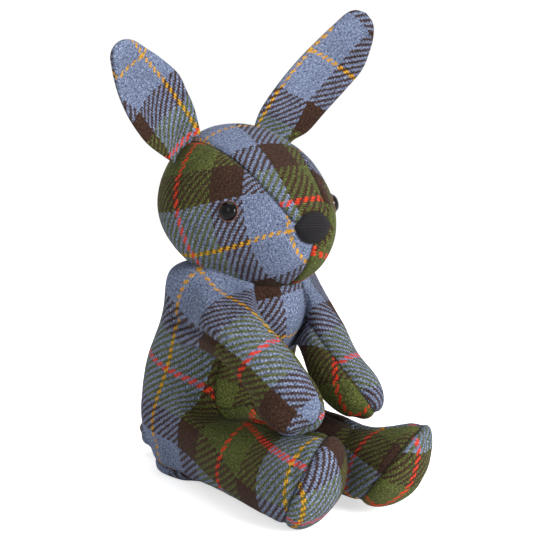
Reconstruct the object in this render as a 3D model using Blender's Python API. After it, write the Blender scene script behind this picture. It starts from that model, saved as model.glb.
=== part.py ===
# Rabbit door stop: a weighted, stuffed rabbit that sits on the floor.
# The rabbit faces -Y, its left side is +X, and +Z is up. Sizes are in metres.

import math

import bmesh
import bpy
from mathutils import Matrix, Vector

# Cloth and fits
CLOTH = 0.0020
SEAM_GAP = 0.0006
SEAT_GAP = 0.0003
STUFFING_GAP = 0.0009

# Torso: floor seam first, then up to the neck.
# Each row is height, half width, half depth, and the centre's distance back.
TORSO_ROWS = (
    (0.009, 0.0495, 0.0475, 0.021),
    (0.030, 0.0575, 0.0530, 0.022),
    (0.054, 0.0580, 0.0508, 0.024),
    (0.084, 0.0560, 0.0492, 0.018),
    (0.112, 0.0550, 0.0510, 0.000),
    (0.137, 0.0545, 0.0460, -0.003),
    (0.150, 0.0450, 0.0375, -0.004),
)
TORSO_TOP = 0.155
# Columns of the torso, in degrees from the front, for one half.
TORSO_COLUMNS = (0.0, 10.0, 22.0, 34.0, 51.0, 70.0, 105.0, 142.0, 180.0)
BASE_FLAT_HALF_WIDTH = 0.041
BASE_FLAT_HALF_DEPTH = 0.039
BASE_ROUNDING = 0.0006
BASE_SEAM_DROP = 0.0045
# Rise of the lower arm root by column.
ARMPIT_RISES = {2: 0.002, 3: 0.006, 4: 0.012, 5: 0.012}

# Legs: forward, out, height, half width, half height, turn to the left and dip of the
# section, both in degrees. The last row is the sole's seam.
RIGHT_LEG = (
    (0.056, 0.0340, 0.0280, 0.0255, 0.0252, 0.0, 0.0),
    (0.086, 0.0348, 0.0276, 0.0266, 0.0260, 18.0, 13.0),
    (0.1145, 0.0340, 0.0292, 0.0290, 0.0298, 34.0, 23.0),
)
LEFT_LEG = (
    (0.058, 0.0290, 0.0255, 0.0250, 0.0245, 0.0, 0.0),
    (0.094, 0.0270, 0.0250, 0.0252, 0.0238, 14.0, 18.0),
    (0.1255, 0.0255, 0.0318, 0.0300, 0.0316, 32.0, 36.0),
)
SOLE_CAP_SHARE = 0.85
HAND_CAP_SHARE = 0.75
SOLE_BULGE = 0.0210
SOLE_SHOULDER_HEIGHT = 0.0130
SOLE_SHOULDER_RADIUS = 0.0240
LEG_ANGLES = (-150, -120, -90, -60, -30, 0, 30, 60, 90, 120, 150, 180)

# Arms: forward, out, height, half width, half height, pitch down in degrees.
RIGHT_ARM = (
    (0.0550, 0.0425, 0.1092, 0.0195, 0.0200, 41.0),
    (0.0800, 0.0392, 0.0946, 0.0190, 0.0168, 43.0),
    (0.1045, 0.0330, 0.0708, 0.0168, 0.0160, 30.0),
)
RIGHT_HAND_TIP = (0.118, 0.031, 0.0640)
LEFT_ARM = (
    (0.0515, 0.0310, 0.1020, 0.0160, 0.0180, 43.0),
    (0.0680, 0.0282, 0.0835, 0.0170, 0.0178, 45.0),
    (0.093, 0.0285, 0.0665, 0.0168, 0.0158, 34.0),
)
LEFT_HAND_TIP = (0.106, 0.029, 0.0600)
ARM_ROOT_ANGLES = (-170, -132, -95, -58, -20, 15, 48, 80, 112, 148)
ARM_ANGLES = (-196, -156, -118, -80, -42, -6, 28, 60, 92, 126)

# Head: forward, half width, height above and below the centre, centre height,
# and the angle of the gusset seam from the top, in degrees.
HEAD_STATIONS = (
    (0.0815, 0.0140, 0.0095, 0.0110, 0.1795, 72.0),
    (0.0755, 0.0220, 0.0170, 0.0230, 0.1785, 50.0),
    (0.0590, 0.0364, 0.0310, 0.0390, 0.1815, 37.0),
    (0.0340, 0.0525, 0.0476, 0.0490, 0.1852, 33.0),
    (0.0020, 0.0608, 0.0573, 0.0485, 0.1890, 34.0),
    (-0.0300, 0.0470, 0.0490, 0.0305, 0.1925, 39.0),
    (-0.0480, 0.0240, 0.0250, 0.0170, 0.1965, 46.0),
)
NOSE_TIP = (0.0865, 0.1790)
HEAD_BACK = (-0.0545, 0.1945)
HEAD_TILT = 2.5
HEAD_TURN = 2.5
HEAD_PIVOT_HEIGHT = 0.150
HEAD_SHIFT = (0.0028, -0.0004, -0.0012)

# Ears
EAR_LENGTH = 0.114
# Share of the length, and half width there.
EAR_ROWS = (
    (0.00, 0.0130),
    (0.17, 0.0178),
    (0.36, 0.0222),
    (0.56, 0.0234),
    (0.76, 0.0204),
    (0.91, 0.0138),
    (1.00, 0.0060),
)
EAR_CLOTH = 0.0014
EAR_PADDING = 0.0024
EAR_CUP = 0.0050
EAR_BEND = 0.0060
RIGHT_EAR_SPLAY = 49.5
RIGHT_EAR_LEAN = 28.0
LEFT_EAR_SPLAY = 26.0
LEFT_EAR_LEAN = 28.0
EAR_FOOT_OUT = 0.0330
EAR_FOOT_BACK = 0.0060
EAR_FOOT_HEIGHT = 0.2300

# Tail
TAIL_RADIUS = 0.0155
TAIL_OUT = -0.0170
TAIL_BACK = 0.0740
TAIL_HEIGHT = 0.0170

# Eyes
EYE_RADIUS = 0.0062
EYE_DOME_HEIGHT = 0.0046
EYE_RIM_HEIGHT = 0.0008
EYE_STEM_RADIUS = 0.0016
EYE_STEM_LENGTH = 0.0110
EYE_WASHER_RADIUS = 0.0075
EYE_WASHER_THICKNESS = 0.0015
EYE_WASHER_DEPTH = 0.0034
EYE_ANGLE_OUT = 47.0
EYE_ANGLE_UP = 3.0
EYE_AIM_FORWARD = 0.0100
EYE_AIM_HEIGHT = 0.1880

# Weight bag of sand, lying on the base inside the body
BAG_HALF_WIDTH = 0.042
BAG_HALF_DEPTH = 0.038
BAG_HEIGHT = 0.036
BAG_CENTRE_BACK = 0.024
BAG_WIDEST_LEVEL = 0.38
BAG_ROWS = (
    (0.62, 0.0),
    (0.90, 0.10),
    (1.00, BAG_WIDEST_LEVEL),
    (0.93, 0.70),
    (0.66, 0.93),
    (0.00, 1.0),
)

# Panel numbers on the faces of the body and head forms
RIGHT_SIDE, LEFT_SIDE, FRONT, BASE, RIGHT_SOLE, LEFT_SOLE = range(6)
GUSSET, NOSE = 6, 7

for old in list(bpy.data.objects):
    bpy.data.objects.remove(old, do_unlink=True)


def material(name, colour, roughness):
    mat = bpy.data.materials.new(name)
    mat.use_nodes = True
    shader = mat.node_tree.nodes["Principled BSDF"]
    shader.inputs["Base Color"].default_value = (*colour, 1.0)
    shader.inputs["Roughness"].default_value = roughness
    shader.inputs["Metallic"].default_value = 0.0
    return mat


def add_object(name, mesh, mat):
    obj = bpy.data.objects.new(name, mesh)
    bpy.context.scene.collection.objects.link(obj)
    mesh.materials.clear()
    mesh.materials.append(mat)
    mesh.polygons.foreach_set("material_index", [0] * len(mesh.polygons))
    mesh.shade_smooth()
    mesh.set_sharp_from_angle(angle=math.radians(50))
    return obj


def mesh_from(points, faces):
    mesh = bpy.data.meshes.new("form")
    mesh.from_pydata([tuple(p) for p in points], [], faces)
    work = bmesh.new()
    work.from_mesh(mesh)
    bmesh.ops.recalc_face_normals(work, faces=work.faces)
    work.to_mesh(mesh)
    work.free()
    return mesh


class Cage:
    """Points and panelled faces of a coarse form."""

    def __init__(self):
        self.points = []
        self.faces = []
        self.panels = []

    def point(self, x, y, z):
        self.points.append(Vector((x, y, z)))
        return len(self.points) - 1

    def face(self, corners, panel):
        self.faces.append(corners)
        self.panels.append(panel)

    def band(self, ring, following, panels, seam=None):
        """Faces between two rings; a seam (face, panel before, panel after) halves one."""
        count = len(ring)
        for i in range(count):
            k = (i + 1) % count
            if seam and seam[0] == i:
                self.face((ring[i], following[k], following[i]), seam[1])
                self.face((ring[i], ring[k], following[k]), seam[2])
            else:
                self.face((ring[i], ring[k], following[k], following[i]), panels[i])


def smooth_form(cage):
    """Cage subdivided once, with its own points on the surface and a flat underside."""
    base = bpy.data.meshes.new("cage")
    base.from_pydata([tuple(p) for p in cage.points], [], cage.faces)
    for number in range(8):
        base.materials.append(bpy.data.materials.new("panel_%d" % number))
    base.polygons.foreach_set("material_index", cage.panels)
    work = bmesh.new()
    work.from_mesh(base)
    bmesh.ops.recalc_face_normals(work, faces=work.faces)
    work.to_mesh(base)
    work.free()
    obj = bpy.data.objects.new("cage", base)
    bpy.context.scene.collection.objects.link(obj)
    subdivision = obj.modifiers.new("Subdivision", "SUBSURF")
    subdivision.levels = 1
    subdivision.render_levels = 1
    wanted = [p.copy() for p in cage.points]
    for _ in range(6):
        bpy.context.view_layer.update()
        result = obj.evaluated_get(bpy.context.evaluated_depsgraph_get()).data
        moved = [result.vertices[i].co.copy() for i in range(len(wanted))]
        for i, vertex in enumerate(base.vertices):
            vertex.co += (wanted[i] - moved[i]) * 0.8
        base.update()
    bpy.context.view_layer.update()
    depsgraph = bpy.context.evaluated_depsgraph_get()
    mesh = bpy.data.meshes.new_from_object(obj.evaluated_get(depsgraph))
    bpy.data.objects.remove(obj, do_unlink=True)
    for vertex in mesh.vertices:
        if vertex.co.z < BASE_ROUNDING:
            vertex.co.z = 0.0
    work = bmesh.new()
    work.from_mesh(mesh)
    bmesh.ops.triangulate(work, faces=work.faces, quad_method="SHORT_EDGE")
    work.to_mesh(mesh)
    work.free()
    return mesh


def vertex_normals(mesh):
    mesh.update()
    return [v.normal.copy() for v in mesh.vertices]


def offset_form(mesh, distance):
    """Copy of a closed form with its surface moved along its normals."""
    copy = mesh.copy()
    for vertex, normal in zip(copy.vertices, vertex_normals(mesh)):
        vertex.co += normal * distance
    copy.update()
    return copy


def edge_pull(mesh, faces, half_gap):
    """Shift of each border vertex of some faces, into the faces along the surface."""
    uses = {}
    for face in faces:
        for key in face.edge_keys:
            uses.setdefault(key, []).append(face)
    inward = {}
    for key, owners in uses.items():
        if len(owners) != 1:
            continue
        face = owners[0]
        a, b = (mesh.vertices[i].co for i in key)
        across = face.normal.cross(b - a).normalized()
        if across.dot(face.center - a) < 0:
            across = -across
        for i in key:
            inward.setdefault(i, []).append(across)
    shift = {}
    for i, sides in inward.items():
        total = sum(sides, Vector())
        spread = max(0.5, 1.0 + sides[0].dot(sides[-1]))
        shift[i] = total * (half_gap / spread)
    return shift


def cloth_panel(mesh, numbers, thickness):
    """Closed cloth solid under the faces of one panel of a form."""
    faces = [f for f in mesh.polygons if f.material_index in numbers]
    normals = vertex_normals(mesh)
    shift = edge_pull(mesh, faces, SEAM_GAP / 2)
    index = {}
    points = []
    for face in faces:
        for i in face.vertices:
            if i not in index:
                index[i] = len(points)
                outer = mesh.vertices[i].co + shift.get(i, Vector())
                points.append(outer)
                points.append(outer - normals[i] * thickness)
    quads = []
    uses = {}
    for face in faces:
        loop = [index[i] for i in face.vertices]
        quads.append(tuple(loop))
        quads.append(tuple(i + 1 for i in reversed(loop)))
        for k in range(len(loop)):
            a, b = loop[k], loop[(k + 1) % len(loop)]
            uses.setdefault((min(a, b), max(a, b)), []).append((a, b))
    for sides in uses.values():
        if len(sides) == 1:
            a, b = sides[0]
            quads.append((b, a, a + 1, b + 1))
    return mesh_from(points, quads)


def cut(mesh, cutter, operation="DIFFERENCE"):
    """Mesh after a Boolean with another mesh."""
    target = bpy.data.objects.new("cut_target", mesh)
    tool = bpy.data.objects.new("cut_tool", cutter)
    for obj in (target, tool):
        bpy.context.scene.collection.objects.link(obj)
    tool.hide_render = True
    tool.display_type = "WIRE"
    boolean = target.modifiers.new("Cut", "BOOLEAN")
    boolean.operation = operation
    boolean.object = tool
    bpy.context.view_layer.update()
    depsgraph = bpy.context.evaluated_depsgraph_get()
    result = bpy.data.meshes.new_from_object(target.evaluated_get(depsgraph))
    for obj in (target, tool):
        bpy.data.objects.remove(obj, do_unlink=True)
    return result


def turned(profile, segments, centre, axis):
    """Solid turned about an axis: profile rows are (radius, distance along the axis)."""
    turn = axis.to_track_quat("Z", "Y").to_matrix().to_4x4()
    place = Matrix.Translation(centre) @ turn
    points = []
    rings = []
    for radius, along in profile:
        if radius == 0.0:
            rings.append([len(points)])
            points.append(place @ Vector((0, 0, along)))
            continue
        ring = []
        for k in range(segments):
            angle = 2 * math.pi * k / segments
            ring.append(len(points))
            spot = Vector((radius * math.cos(angle), radius * math.sin(angle), along))
            points.append(place @ spot)
        rings.append(ring)
    faces = []
    for ring, following in zip(rings, rings[1:]):
        for k in range(segments):
            n = (k + 1) % segments
            if len(ring) == 1:
                faces.append((ring[0], following[k], following[n]))
            elif len(following) == 1:
                faces.append((ring[k], ring[n], following[0]))
            else:
                faces.append((ring[k], ring[n], following[n], following[k]))
    if len(rings[0]) > 1:
        faces.append(tuple(rings[0]))
    if len(rings[-1]) > 1:
        faces.append(tuple(rings[-1]))
    return mesh_from(points, faces)


def block_border(grid, first, last, low, high):
    """Torso points around a block of columns and rows, anticlockwise from outside."""
    border = [grid[low][j] for j in range(first, last)]
    border += [grid[k][last] for k in range(low, high)]
    border += [grid[high][j] for j in range(last, first, -1)]
    border += [grid[k][first] for k in range(high, low, -1)]
    return border


def cap_block(cage, ring, wide, high, tip, side, panels):
    """Close a ring with a grid of faces that matches the block it came from."""
    grid = {}
    for i in range(wide):
        grid[(i, 0)] = ring[i]
    for k in range(high):
        grid[(wide, k)] = ring[wide + k]
    for i in range(wide):
        grid[(wide - i, high)] = ring[wide + high + i]
    for k in range(high):
        grid[(0, high - k)] = ring[2 * wide + high + k]
    for i in range(1, wide):
        for k in range(1, high):
            left, right = cage.points[grid[(0, k)]], cage.points[grid[(wide, k)]]
            low, top = cage.points[grid[(i, 0)]], cage.points[grid[(i, high)]]
            flat = (left.lerp(right, i / wide) + low.lerp(top, k / high)) / 2
            spot = Vector(tip) + (flat - cage_centre(cage, ring)) * side
            grid[(i, k)] = cage.point(*spot)
    for i in range(wide):
        for k in range(high):
            corners = (grid[(i, k)], grid[(i + 1, k)], grid[(i + 1, k + 1)], grid[(i, k + 1)])
            cage.face(corners, panels(i, k))


def cage_centre(cage, ring):
    return sum((cage.points[i] for i in ring), Vector()) / len(ring)


def limb_ring(cage, centre, across, upward, half_width, half_height, angles, hand):
    """Ring of points round a limb; hand is 1 for the left limb and -1 for the right."""
    ring = []
    for angle in angles:
        a = math.radians(angle)
        spot = centre + across * (half_width * math.cos(a) * hand)
        spot = spot + upward * (half_height * math.sin(a))
        ring.append(cage.point(*spot))
    return ring


def body_form():
    """Closed form of the torso, both arms and both legs, with its panels marked."""
    cage = Cage()
    half = len(TORSO_COLUMNS) - 1
    angles = {j: TORSO_COLUMNS[j] for j in range(half + 1)}
    angles.update({-j: -TORSO_COLUMNS[j] for j in range(1, half)})
    order = list(range(-half + 1, half + 1))
    grid = []
    for k, (height, width, depth, back) in enumerate(TORSO_ROWS):
        row = {}
        for j in order:
            a = math.radians(angles[j])
            lift = ARMPIT_RISES.get(abs(j), 0.0) if k == 3 else 0.0
            if k == 0:
                lift = -BASE_SEAM_DROP * min(1.0, max(0.0, (7 - abs(j)) / 3))
            row[j] = cage.point(
                width * math.sin(a), back - depth * math.cos(a), height + lift
            )
        row[-half] = row[half]
        grid.append(row)
    rows = len(TORSO_ROWS) - 1

    def torso_panel(j, k):
        limit = (1, 1, 3, 2, 2, 2)[k]
        if -limit <= j < limit:
            return FRONT
        return LEFT_SIDE if j >= 0 else RIGHT_SIDE

    for k in range(rows):
        for j in range(-half, half):
            outward = j if j >= 0 else -j - 1
            if k < 2 and 1 <= outward < 5:
                continue
            if 3 <= k < 5 and 2 <= outward < 5:
                continue
            corners = (grid[k][j], grid[k][j + 1], grid[k + 1][j + 1], grid[k + 1][j])
            cage.face(corners, torso_panel(j, k))

    crown = cage.point(0.0, TORSO_ROWS[-1][3], TORSO_TOP)
    flat = {}
    for j in order:
        a = math.radians(angles[j])
        flat[j] = cage.point(
            BASE_FLAT_HALF_WIDTH * math.sin(a),
            TORSO_ROWS[0][3] - BASE_FLAT_HALF_DEPTH * math.cos(a),
            0.0,
        )
    flat[-half] = flat[half]
    for j in range(-half, half):
        side = LEFT_SIDE if j >= 0 else RIGHT_SIDE
        cage.face((grid[rows][j], grid[rows][j + 1], crown), side)
        cage.face((flat[j], flat[j + 1], grid[0][j + 1], grid[0][j]), BASE)
    cage.face(tuple(flat[j] for j in reversed(order)), BASE)

    forward = Vector((0.0, -1.0, 0.0))
    upward = Vector((0.0, 0.0, 1.0))
    across = Vector((1.0, 0.0, 0.0))
    for hand, side, sole in ((1, LEFT_SIDE, LEFT_SOLE), (-1, RIGHT_SIDE, RIGHT_SOLE)):
        mirrored = [{hand * j: i for j, i in row.items()} for row in grid]

        # Leg, from its root on the torso to the domed sole
        panels = [FRONT, FRONT, side, side, side, side, side, side, FRONT, FRONT, FRONT, FRONT]
        ring = block_border(mirrored, 1, 5, 0, 2)
        for ahead, out, height, wide, high, turn, dip in (LEFT_LEG if hand == 1 else RIGHT_LEG):
            face = Matrix.Rotation(math.radians(turn), 3, "Z")
            face = face @ Matrix.Rotation(math.radians(dip), 3, "X")
            centre = across * (out * hand) + upward * height + forward * ahead
            aside, above = face @ across, face @ upward
            following = limb_ring(cage, centre, aside, above, wide, high, LEG_ANGLES, hand)
            cage.band(ring, following, panels)
            ring = following
        outward = face @ forward
        spot = centre + outward * SOLE_SHOULDER_HEIGHT
        following = limb_ring(
            cage, spot, aside, above, SOLE_SHOULDER_RADIUS, SOLE_SHOULDER_RADIUS, LEG_ANGLES, hand
        )
        cage.band(ring, following, [sole] * len(LEG_ANGLES))
        tip = centre + outward * SOLE_BULGE
        cap_block(cage, following, 4, 2, tip, SOLE_CAP_SHARE, lambda i, k: sole)

        # Arm, from its root on the chest to the hand
        stations, hand_tip = (LEFT_ARM, LEFT_HAND_TIP) if hand == 1 else (RIGHT_ARM, RIGHT_HAND_TIP)
        ring = block_border(mirrored, 2, 5, 3, 5)
        for n, (ahead, out, height, wide, high, pitch) in enumerate(stations):
            p = math.radians(pitch)
            lean = Vector((0.0, -math.sin(p), math.cos(p)))
            centre = across * (out * hand) + upward * height + forward * ahead
            angles = ARM_ROOT_ANGLES if n == 0 else ARM_ANGLES
            following = limb_ring(cage, centre, across, lean, wide, high, angles, hand)
            seam = n + 1
            panels = [FRONT] * seam + [side] * (len(angles) - 1 - seam) + [FRONT]
            cage.band(ring, following, panels, (seam, FRONT, side))
            ring = following
        ahead, out, height = hand_tip
        tip = across * (out * hand) + upward * height + forward * ahead
        cap_block(cage, ring, 3, 2, tip, HAND_CAP_SHARE, lambda i, k: FRONT if k == 0 else side)
    return smooth_form(cage)


def head_pose():
    """Matrix that tilts, turns and shifts the head on the neck."""
    lift = Matrix.Translation((0.0, 0.0, HEAD_PIVOT_HEIGHT))
    drop = Matrix.Translation((0.0, 0.0, -HEAD_PIVOT_HEIGHT))
    tilt = Matrix.Rotation(math.radians(-HEAD_TILT), 4, "Y")
    turn = Matrix.Rotation(math.radians(-HEAD_TURN), 4, "Z")
    return Matrix.Translation(HEAD_SHIFT) @ lift @ turn @ tilt @ drop


def head_form():
    """Closed form of the head with its gusset, side and nose panels marked."""
    cage = Cage()
    pose = head_pose()

    def placed(x, y, z):
        return cage.point(*(pose @ Vector((x, y, z))))

    rings = []
    for ahead, width, up, down, height, seam in HEAD_STATIONS:
        step = (180.0 - seam) / 4
        half = [0.0, seam] + [seam + step * n for n in range(1, 4)]
        around = half + [180.0] + [-a for a in reversed(half[1:])]
        ring = []
        for angle in around:
            a = math.radians(angle)
            rise = up if math.cos(a) > 0 else down
            ring.append(placed(width * math.sin(a), -ahead, height + rise * math.cos(a)))
        rings.append(ring)
    tip = placed(0.0, -NOSE_TIP[0], NOSE_TIP[1])
    rear = placed(0.0, -HEAD_BACK[0], HEAD_BACK[1])
    count = len(rings[0])
    panels = []
    for i in range(count):
        if i in (0, count - 1):
            panels.append(GUSSET)
        elif i < count // 2:
            panels.append(LEFT_SIDE)
        else:
            panels.append(RIGHT_SIDE)
    for ring, following in zip(rings, rings[1:]):
        cage.band(ring, following, panels)
    for i in range(count):
        k = (i + 1) % count
        cage.face((tip, rings[0][k], rings[0][i]), NOSE)
        cage.face((rear, rings[-1][i], rings[-1][k]), panels[i])
    return smooth_form(cage)


def ear_frame(hand):
    """Matrix from an ear's own axes (x across, y back, z along the ear) to the rabbit."""
    foot = Matrix.Translation((EAR_FOOT_OUT * hand, EAR_FOOT_BACK, EAR_FOOT_HEIGHT))
    angles = (LEFT_EAR_SPLAY, LEFT_EAR_LEAN) if hand == 1 else (RIGHT_EAR_SPLAY, RIGHT_EAR_LEAN)
    splay = Matrix.Rotation(math.radians(angles[0] * hand), 4, "Y")
    lean = Matrix.Rotation(math.radians(angles[1]), 4, "X")
    return head_pose() @ foot @ splay @ lean


def ear_panel(hand, front):
    """Closed cloth solid of an ear's front or back panel."""
    place = ear_frame(hand)
    across = 4
    along = len(EAR_ROWS)
    widest = max(width for _, width in EAR_ROWS)
    sheet = []
    for n, (v, half_width) in enumerate(EAR_ROWS):
        bend = EAR_BEND * math.sin(math.pi * v)
        row = []
        for k in range(across + 1):
            u = 2 * k / across - 1
            full = (1 - u * u) * min(1.0, 4 * (1 - v) + 0.15)
            cup = EAR_CUP * (u * u - 1) * (half_width / widest)
            middle = bend - cup
            pad = EAR_PADDING * full + SEAM_GAP / 2
            inner = middle + (-pad if front else pad)
            outer = inner + (-EAR_CLOTH if front else EAR_CLOTH)
            x = half_width * u
            z = EAR_LENGTH * v
            row.append((Vector((x, inner, z)), Vector((x, outer, z))))
        sheet.append(row)
    points = []
    for row in sheet:
        for inner, outer in row:
            points.append(place @ inner)
            points.append(place @ outer)

    def at(n, k, outer):
        return 2 * (n * (across + 1) + k) + outer

    faces = []
    for n in range(along - 1):
        for k in range(across):
            for side in (0, 1):
                faces.append(
                    (at(n, k, side), at(n, k + 1, side), at(n + 1, k + 1, side), at(n + 1, k, side))
                )
    for n in range(along - 1):
        for k in (0, across):
            faces.append((at(n, k, 0), at(n + 1, k, 0), at(n + 1, k, 1), at(n, k, 1)))
    for k in range(across):
        for n in (0, along - 1):
            faces.append((at(n, k, 0), at(n, k + 1, 0), at(n, k + 1, 1), at(n, k, 1)))
    return mesh_from(points, faces)


def eye_axis(head, hand):
    """Point on the head's surface under an eye, and the outward direction there."""
    pose = head_pose()
    out, up = math.radians(EYE_ANGLE_OUT), math.radians(EYE_ANGLE_UP)
    aim = pose @ Vector((0.0, -EYE_AIM_FORWARD, EYE_AIM_HEIGHT))
    ray = Vector((math.sin(out) * math.cos(up) * hand, -math.cos(out) * math.cos(up), math.sin(up)))
    ray = pose.to_3x3() @ ray
    probe = bpy.data.objects.new("probe", head)
    bpy.context.scene.collection.objects.link(probe)
    bpy.context.view_layer.update()
    hit, spot, normal, _ = probe.ray_cast(aim, ray)
    bpy.data.objects.remove(probe, do_unlink=True)
    return spot, normal


def lens(radius, height, rim, segments, centre, axis):
    """Dome with a short straight rim and a flat underside below the surface."""
    profile = [(0.0, -rim), (radius, -rim), (radius, rim)]
    for step in range(1, 4):
        a = math.pi / 2 * step / 4
        profile.append((radius * math.cos(a), rim + (height - rim) * math.sin(a)))
    profile.append((0.0, height))
    return turned(profile, segments, centre, axis)


def rod(radius, start, end, segments, centre, axis):
    return turned([(radius, start), (radius, end)], segments, centre, axis)


tartan_side = material("tartan_side", (0.16, 0.20, 0.33), 0.95)
tartan_front = material("tartan_front", (0.10, 0.13, 0.06), 0.95)
tartan_base = material("tartan_base", (0.20, 0.24, 0.38), 0.95)
tartan_head = material("tartan_head", (0.17, 0.21, 0.34), 0.95)
tartan_ear = material("tartan_ear", (0.12, 0.15, 0.12), 0.95)
nose_cloth = material("nose_cloth", (0.014, 0.013, 0.015), 0.8)
eye_plastic = material("eye_plastic", (0.010, 0.006, 0.005), 0.08)
washer_plastic = material("washer_plastic", (0.70, 0.70, 0.68), 0.5)
stuffing = material("stuffing", (0.80, 0.80, 0.78), 1.0)
sand_bag = material("sand_bag", (0.45, 0.38, 0.27), 0.9)

# Forms that every piece is taken from
body = body_form()
head = head_form()
inside = -(CLOTH + STUFFING_GAP)
head_seat = offset_form(head, SEAT_GAP)
body_seat = offset_form(body, SEAT_GAP)

# Body panels, cut where the head sits in the neck
parts = {}
for name, numbers, mat in (
    ("body_side_right", (RIGHT_SIDE,), tartan_side),
    ("body_side_left", (LEFT_SIDE,), tartan_side),
    ("body_front", (FRONT,), tartan_front),
):
    panel = cloth_panel(body, numbers, CLOTH)
    add_object(name, cut(panel, head_seat.copy()), mat)
add_object("body_base", cloth_panel(body, (BASE,), CLOTH), tartan_base)
add_object("foot_sole_right", cloth_panel(body, (RIGHT_SOLE,), CLOTH), tartan_side)
add_object("foot_sole_left", cloth_panel(body, (LEFT_SOLE,), CLOTH), tartan_side)

# Weight bag on the base, and the stuffing around it
bag_floor = CLOTH + SEAT_GAP


def bag_form(grow, below):
    points = []
    faces = []
    rings = []
    segments = 16
    for share, level in BAG_ROWS:
        height = bag_floor + BAG_HEIGHT * level
        if level > BAG_WIDEST_LEVEL:
            height += grow
        elif level == 0.0:
            height -= below
        if share == 0.0:
            rings.append([len(points)] * segments)
            points.append(Vector((0.0, BAG_CENTRE_BACK, height)))
            continue
        ring = []
        for k in range(segments):
            a = 2 * math.pi * k / segments
            wide = BAG_HALF_WIDTH * share + grow
            deep = BAG_HALF_DEPTH * share + grow
            ring.append(len(points))
            points.append(
                Vector((wide * math.cos(a), BAG_CENTRE_BACK + deep * math.sin(a), height))
            )
        rings.append(ring)
    faces.append(tuple(rings[0]))
    for ring, following in zip(rings, rings[1:]):
        for k in range(segments):
            n = (k + 1) % segments
            corners = (ring[k], ring[n], following[n], following[k])
            faces.append(tuple(dict.fromkeys(corners)))
    return mesh_from(points, faces)


add_object("weight_bag", bag_form(0.0, 0.0), sand_bag)
body_core = offset_form(body, inside)
body_core = cut(body_core, bag_form(SEAT_GAP, CLOTH * 2))
body_core = cut(body_core, head_seat.copy())
add_object("body_stuffing", body_core, stuffing)

# Eyes, their washers, and the head's panels and stuffing around them
head_core = offset_form(head, inside)
sides = {
    1: cloth_panel(head, (LEFT_SIDE,), CLOTH),
    -1: cloth_panel(head, (RIGHT_SIDE,), CLOTH),
}
for hand, label in ((1, "left"), (-1, "right")):
    spot, outward = eye_axis(head, hand)
    dome = lens(EYE_RADIUS, EYE_DOME_HEIGHT, EYE_RIM_HEIGHT, 14, spot, outward)
    dome = cut(dome, head_seat.copy())
    stem = rod(
        EYE_STEM_RADIUS, -EYE_STEM_LENGTH, EYE_DOME_HEIGHT / 2, 10, spot, outward
    )
    add_object("eye_" + label, cut(dome, stem, "UNION"), eye_plastic)
    hole = rod(
        EYE_STEM_RADIUS + SEAT_GAP,
        -EYE_STEM_LENGTH - SEAT_GAP,
        EYE_DOME_HEIGHT,
        10,
        spot,
        outward,
    )
    sides[hand] = cut(sides[hand], hole.copy())
    deep = -EYE_WASHER_DEPTH - EYE_WASHER_THICKNESS
    washer = rod(EYE_WASHER_RADIUS, deep, -EYE_WASHER_DEPTH, 12, spot, outward)
    add_object("eye_washer_" + label, cut(washer, hole.copy()), washer_plastic)
    room = rod(
        EYE_WASHER_RADIUS + SEAT_GAP,
        deep - SEAT_GAP,
        0.0,
        12,
        spot,
        outward,
    )
    head_core = cut(head_core, room)
    head_core = cut(head_core, hole.copy())
add_object("head_side_left", sides[1], tartan_head)
add_object("head_side_right", sides[-1], tartan_head)
add_object("head_gusset", cloth_panel(head, (GUSSET,), CLOTH), tartan_head)
add_object("nose", cloth_panel(head, (NOSE,), CLOTH), nose_cloth)
add_object("head_stuffing", head_core, stuffing)

# Ears, cut to stand on the head
for hand, label in ((1, "left"), (-1, "right")):
    for front, word in ((True, "front"), (False, "back")):
        ear = cut(ear_panel(hand, front), head_seat.copy())
        add_object("ear_%s_%s" % (label, word), ear, tartan_ear)

# Tail, cut to lie against the back
tail_axis = Vector((0.0, 0.0, 1.0))
tail_profile = [(0.0, -TAIL_RADIUS)]
for step in range(1, 7):
    a = math.pi * step / 7
    tail_profile.append((TAIL_RADIUS * math.sin(a), -TAIL_RADIUS * math.cos(a)))
tail_profile.append((0.0, TAIL_RADIUS))
tail = turned(tail_profile, 12, Vector((TAIL_OUT, TAIL_BACK, TAIL_HEIGHT)), tail_axis)
add_object("tail", cut(tail, body_seat.copy()), tartan_side)

# Stand the rabbit on its origin: the middle of its bounding box, at the floor
bpy.context.view_layer.update()
corners = [
    obj.matrix_world @ vertex.co
    for obj in bpy.context.scene.objects
    for vertex in obj.data.vertices
]
low = [min(c[i] for c in corners) for i in range(3)]
high = [max(c[i] for c in corners) for i in range(3)]
root = bpy.data.objects.new("rabbit", None)
bpy.context.scene.collection.objects.link(root)
for obj in [o for o in bpy.context.scene.objects if o.type == "MESH"]:
    obj.parent = root
root.location = (-(low[0] + high[0]) / 2, -(low[1] + high[1]) / 2, -low[2])
bpy.context.view_layer.update()
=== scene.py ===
import math

import bmesh
import bpy
import numpy as np
from mathutils import Matrix, Vector, noise
from mathutils.bvhtree import BVHTree
from mathutils.kdtree import KDTree


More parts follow.
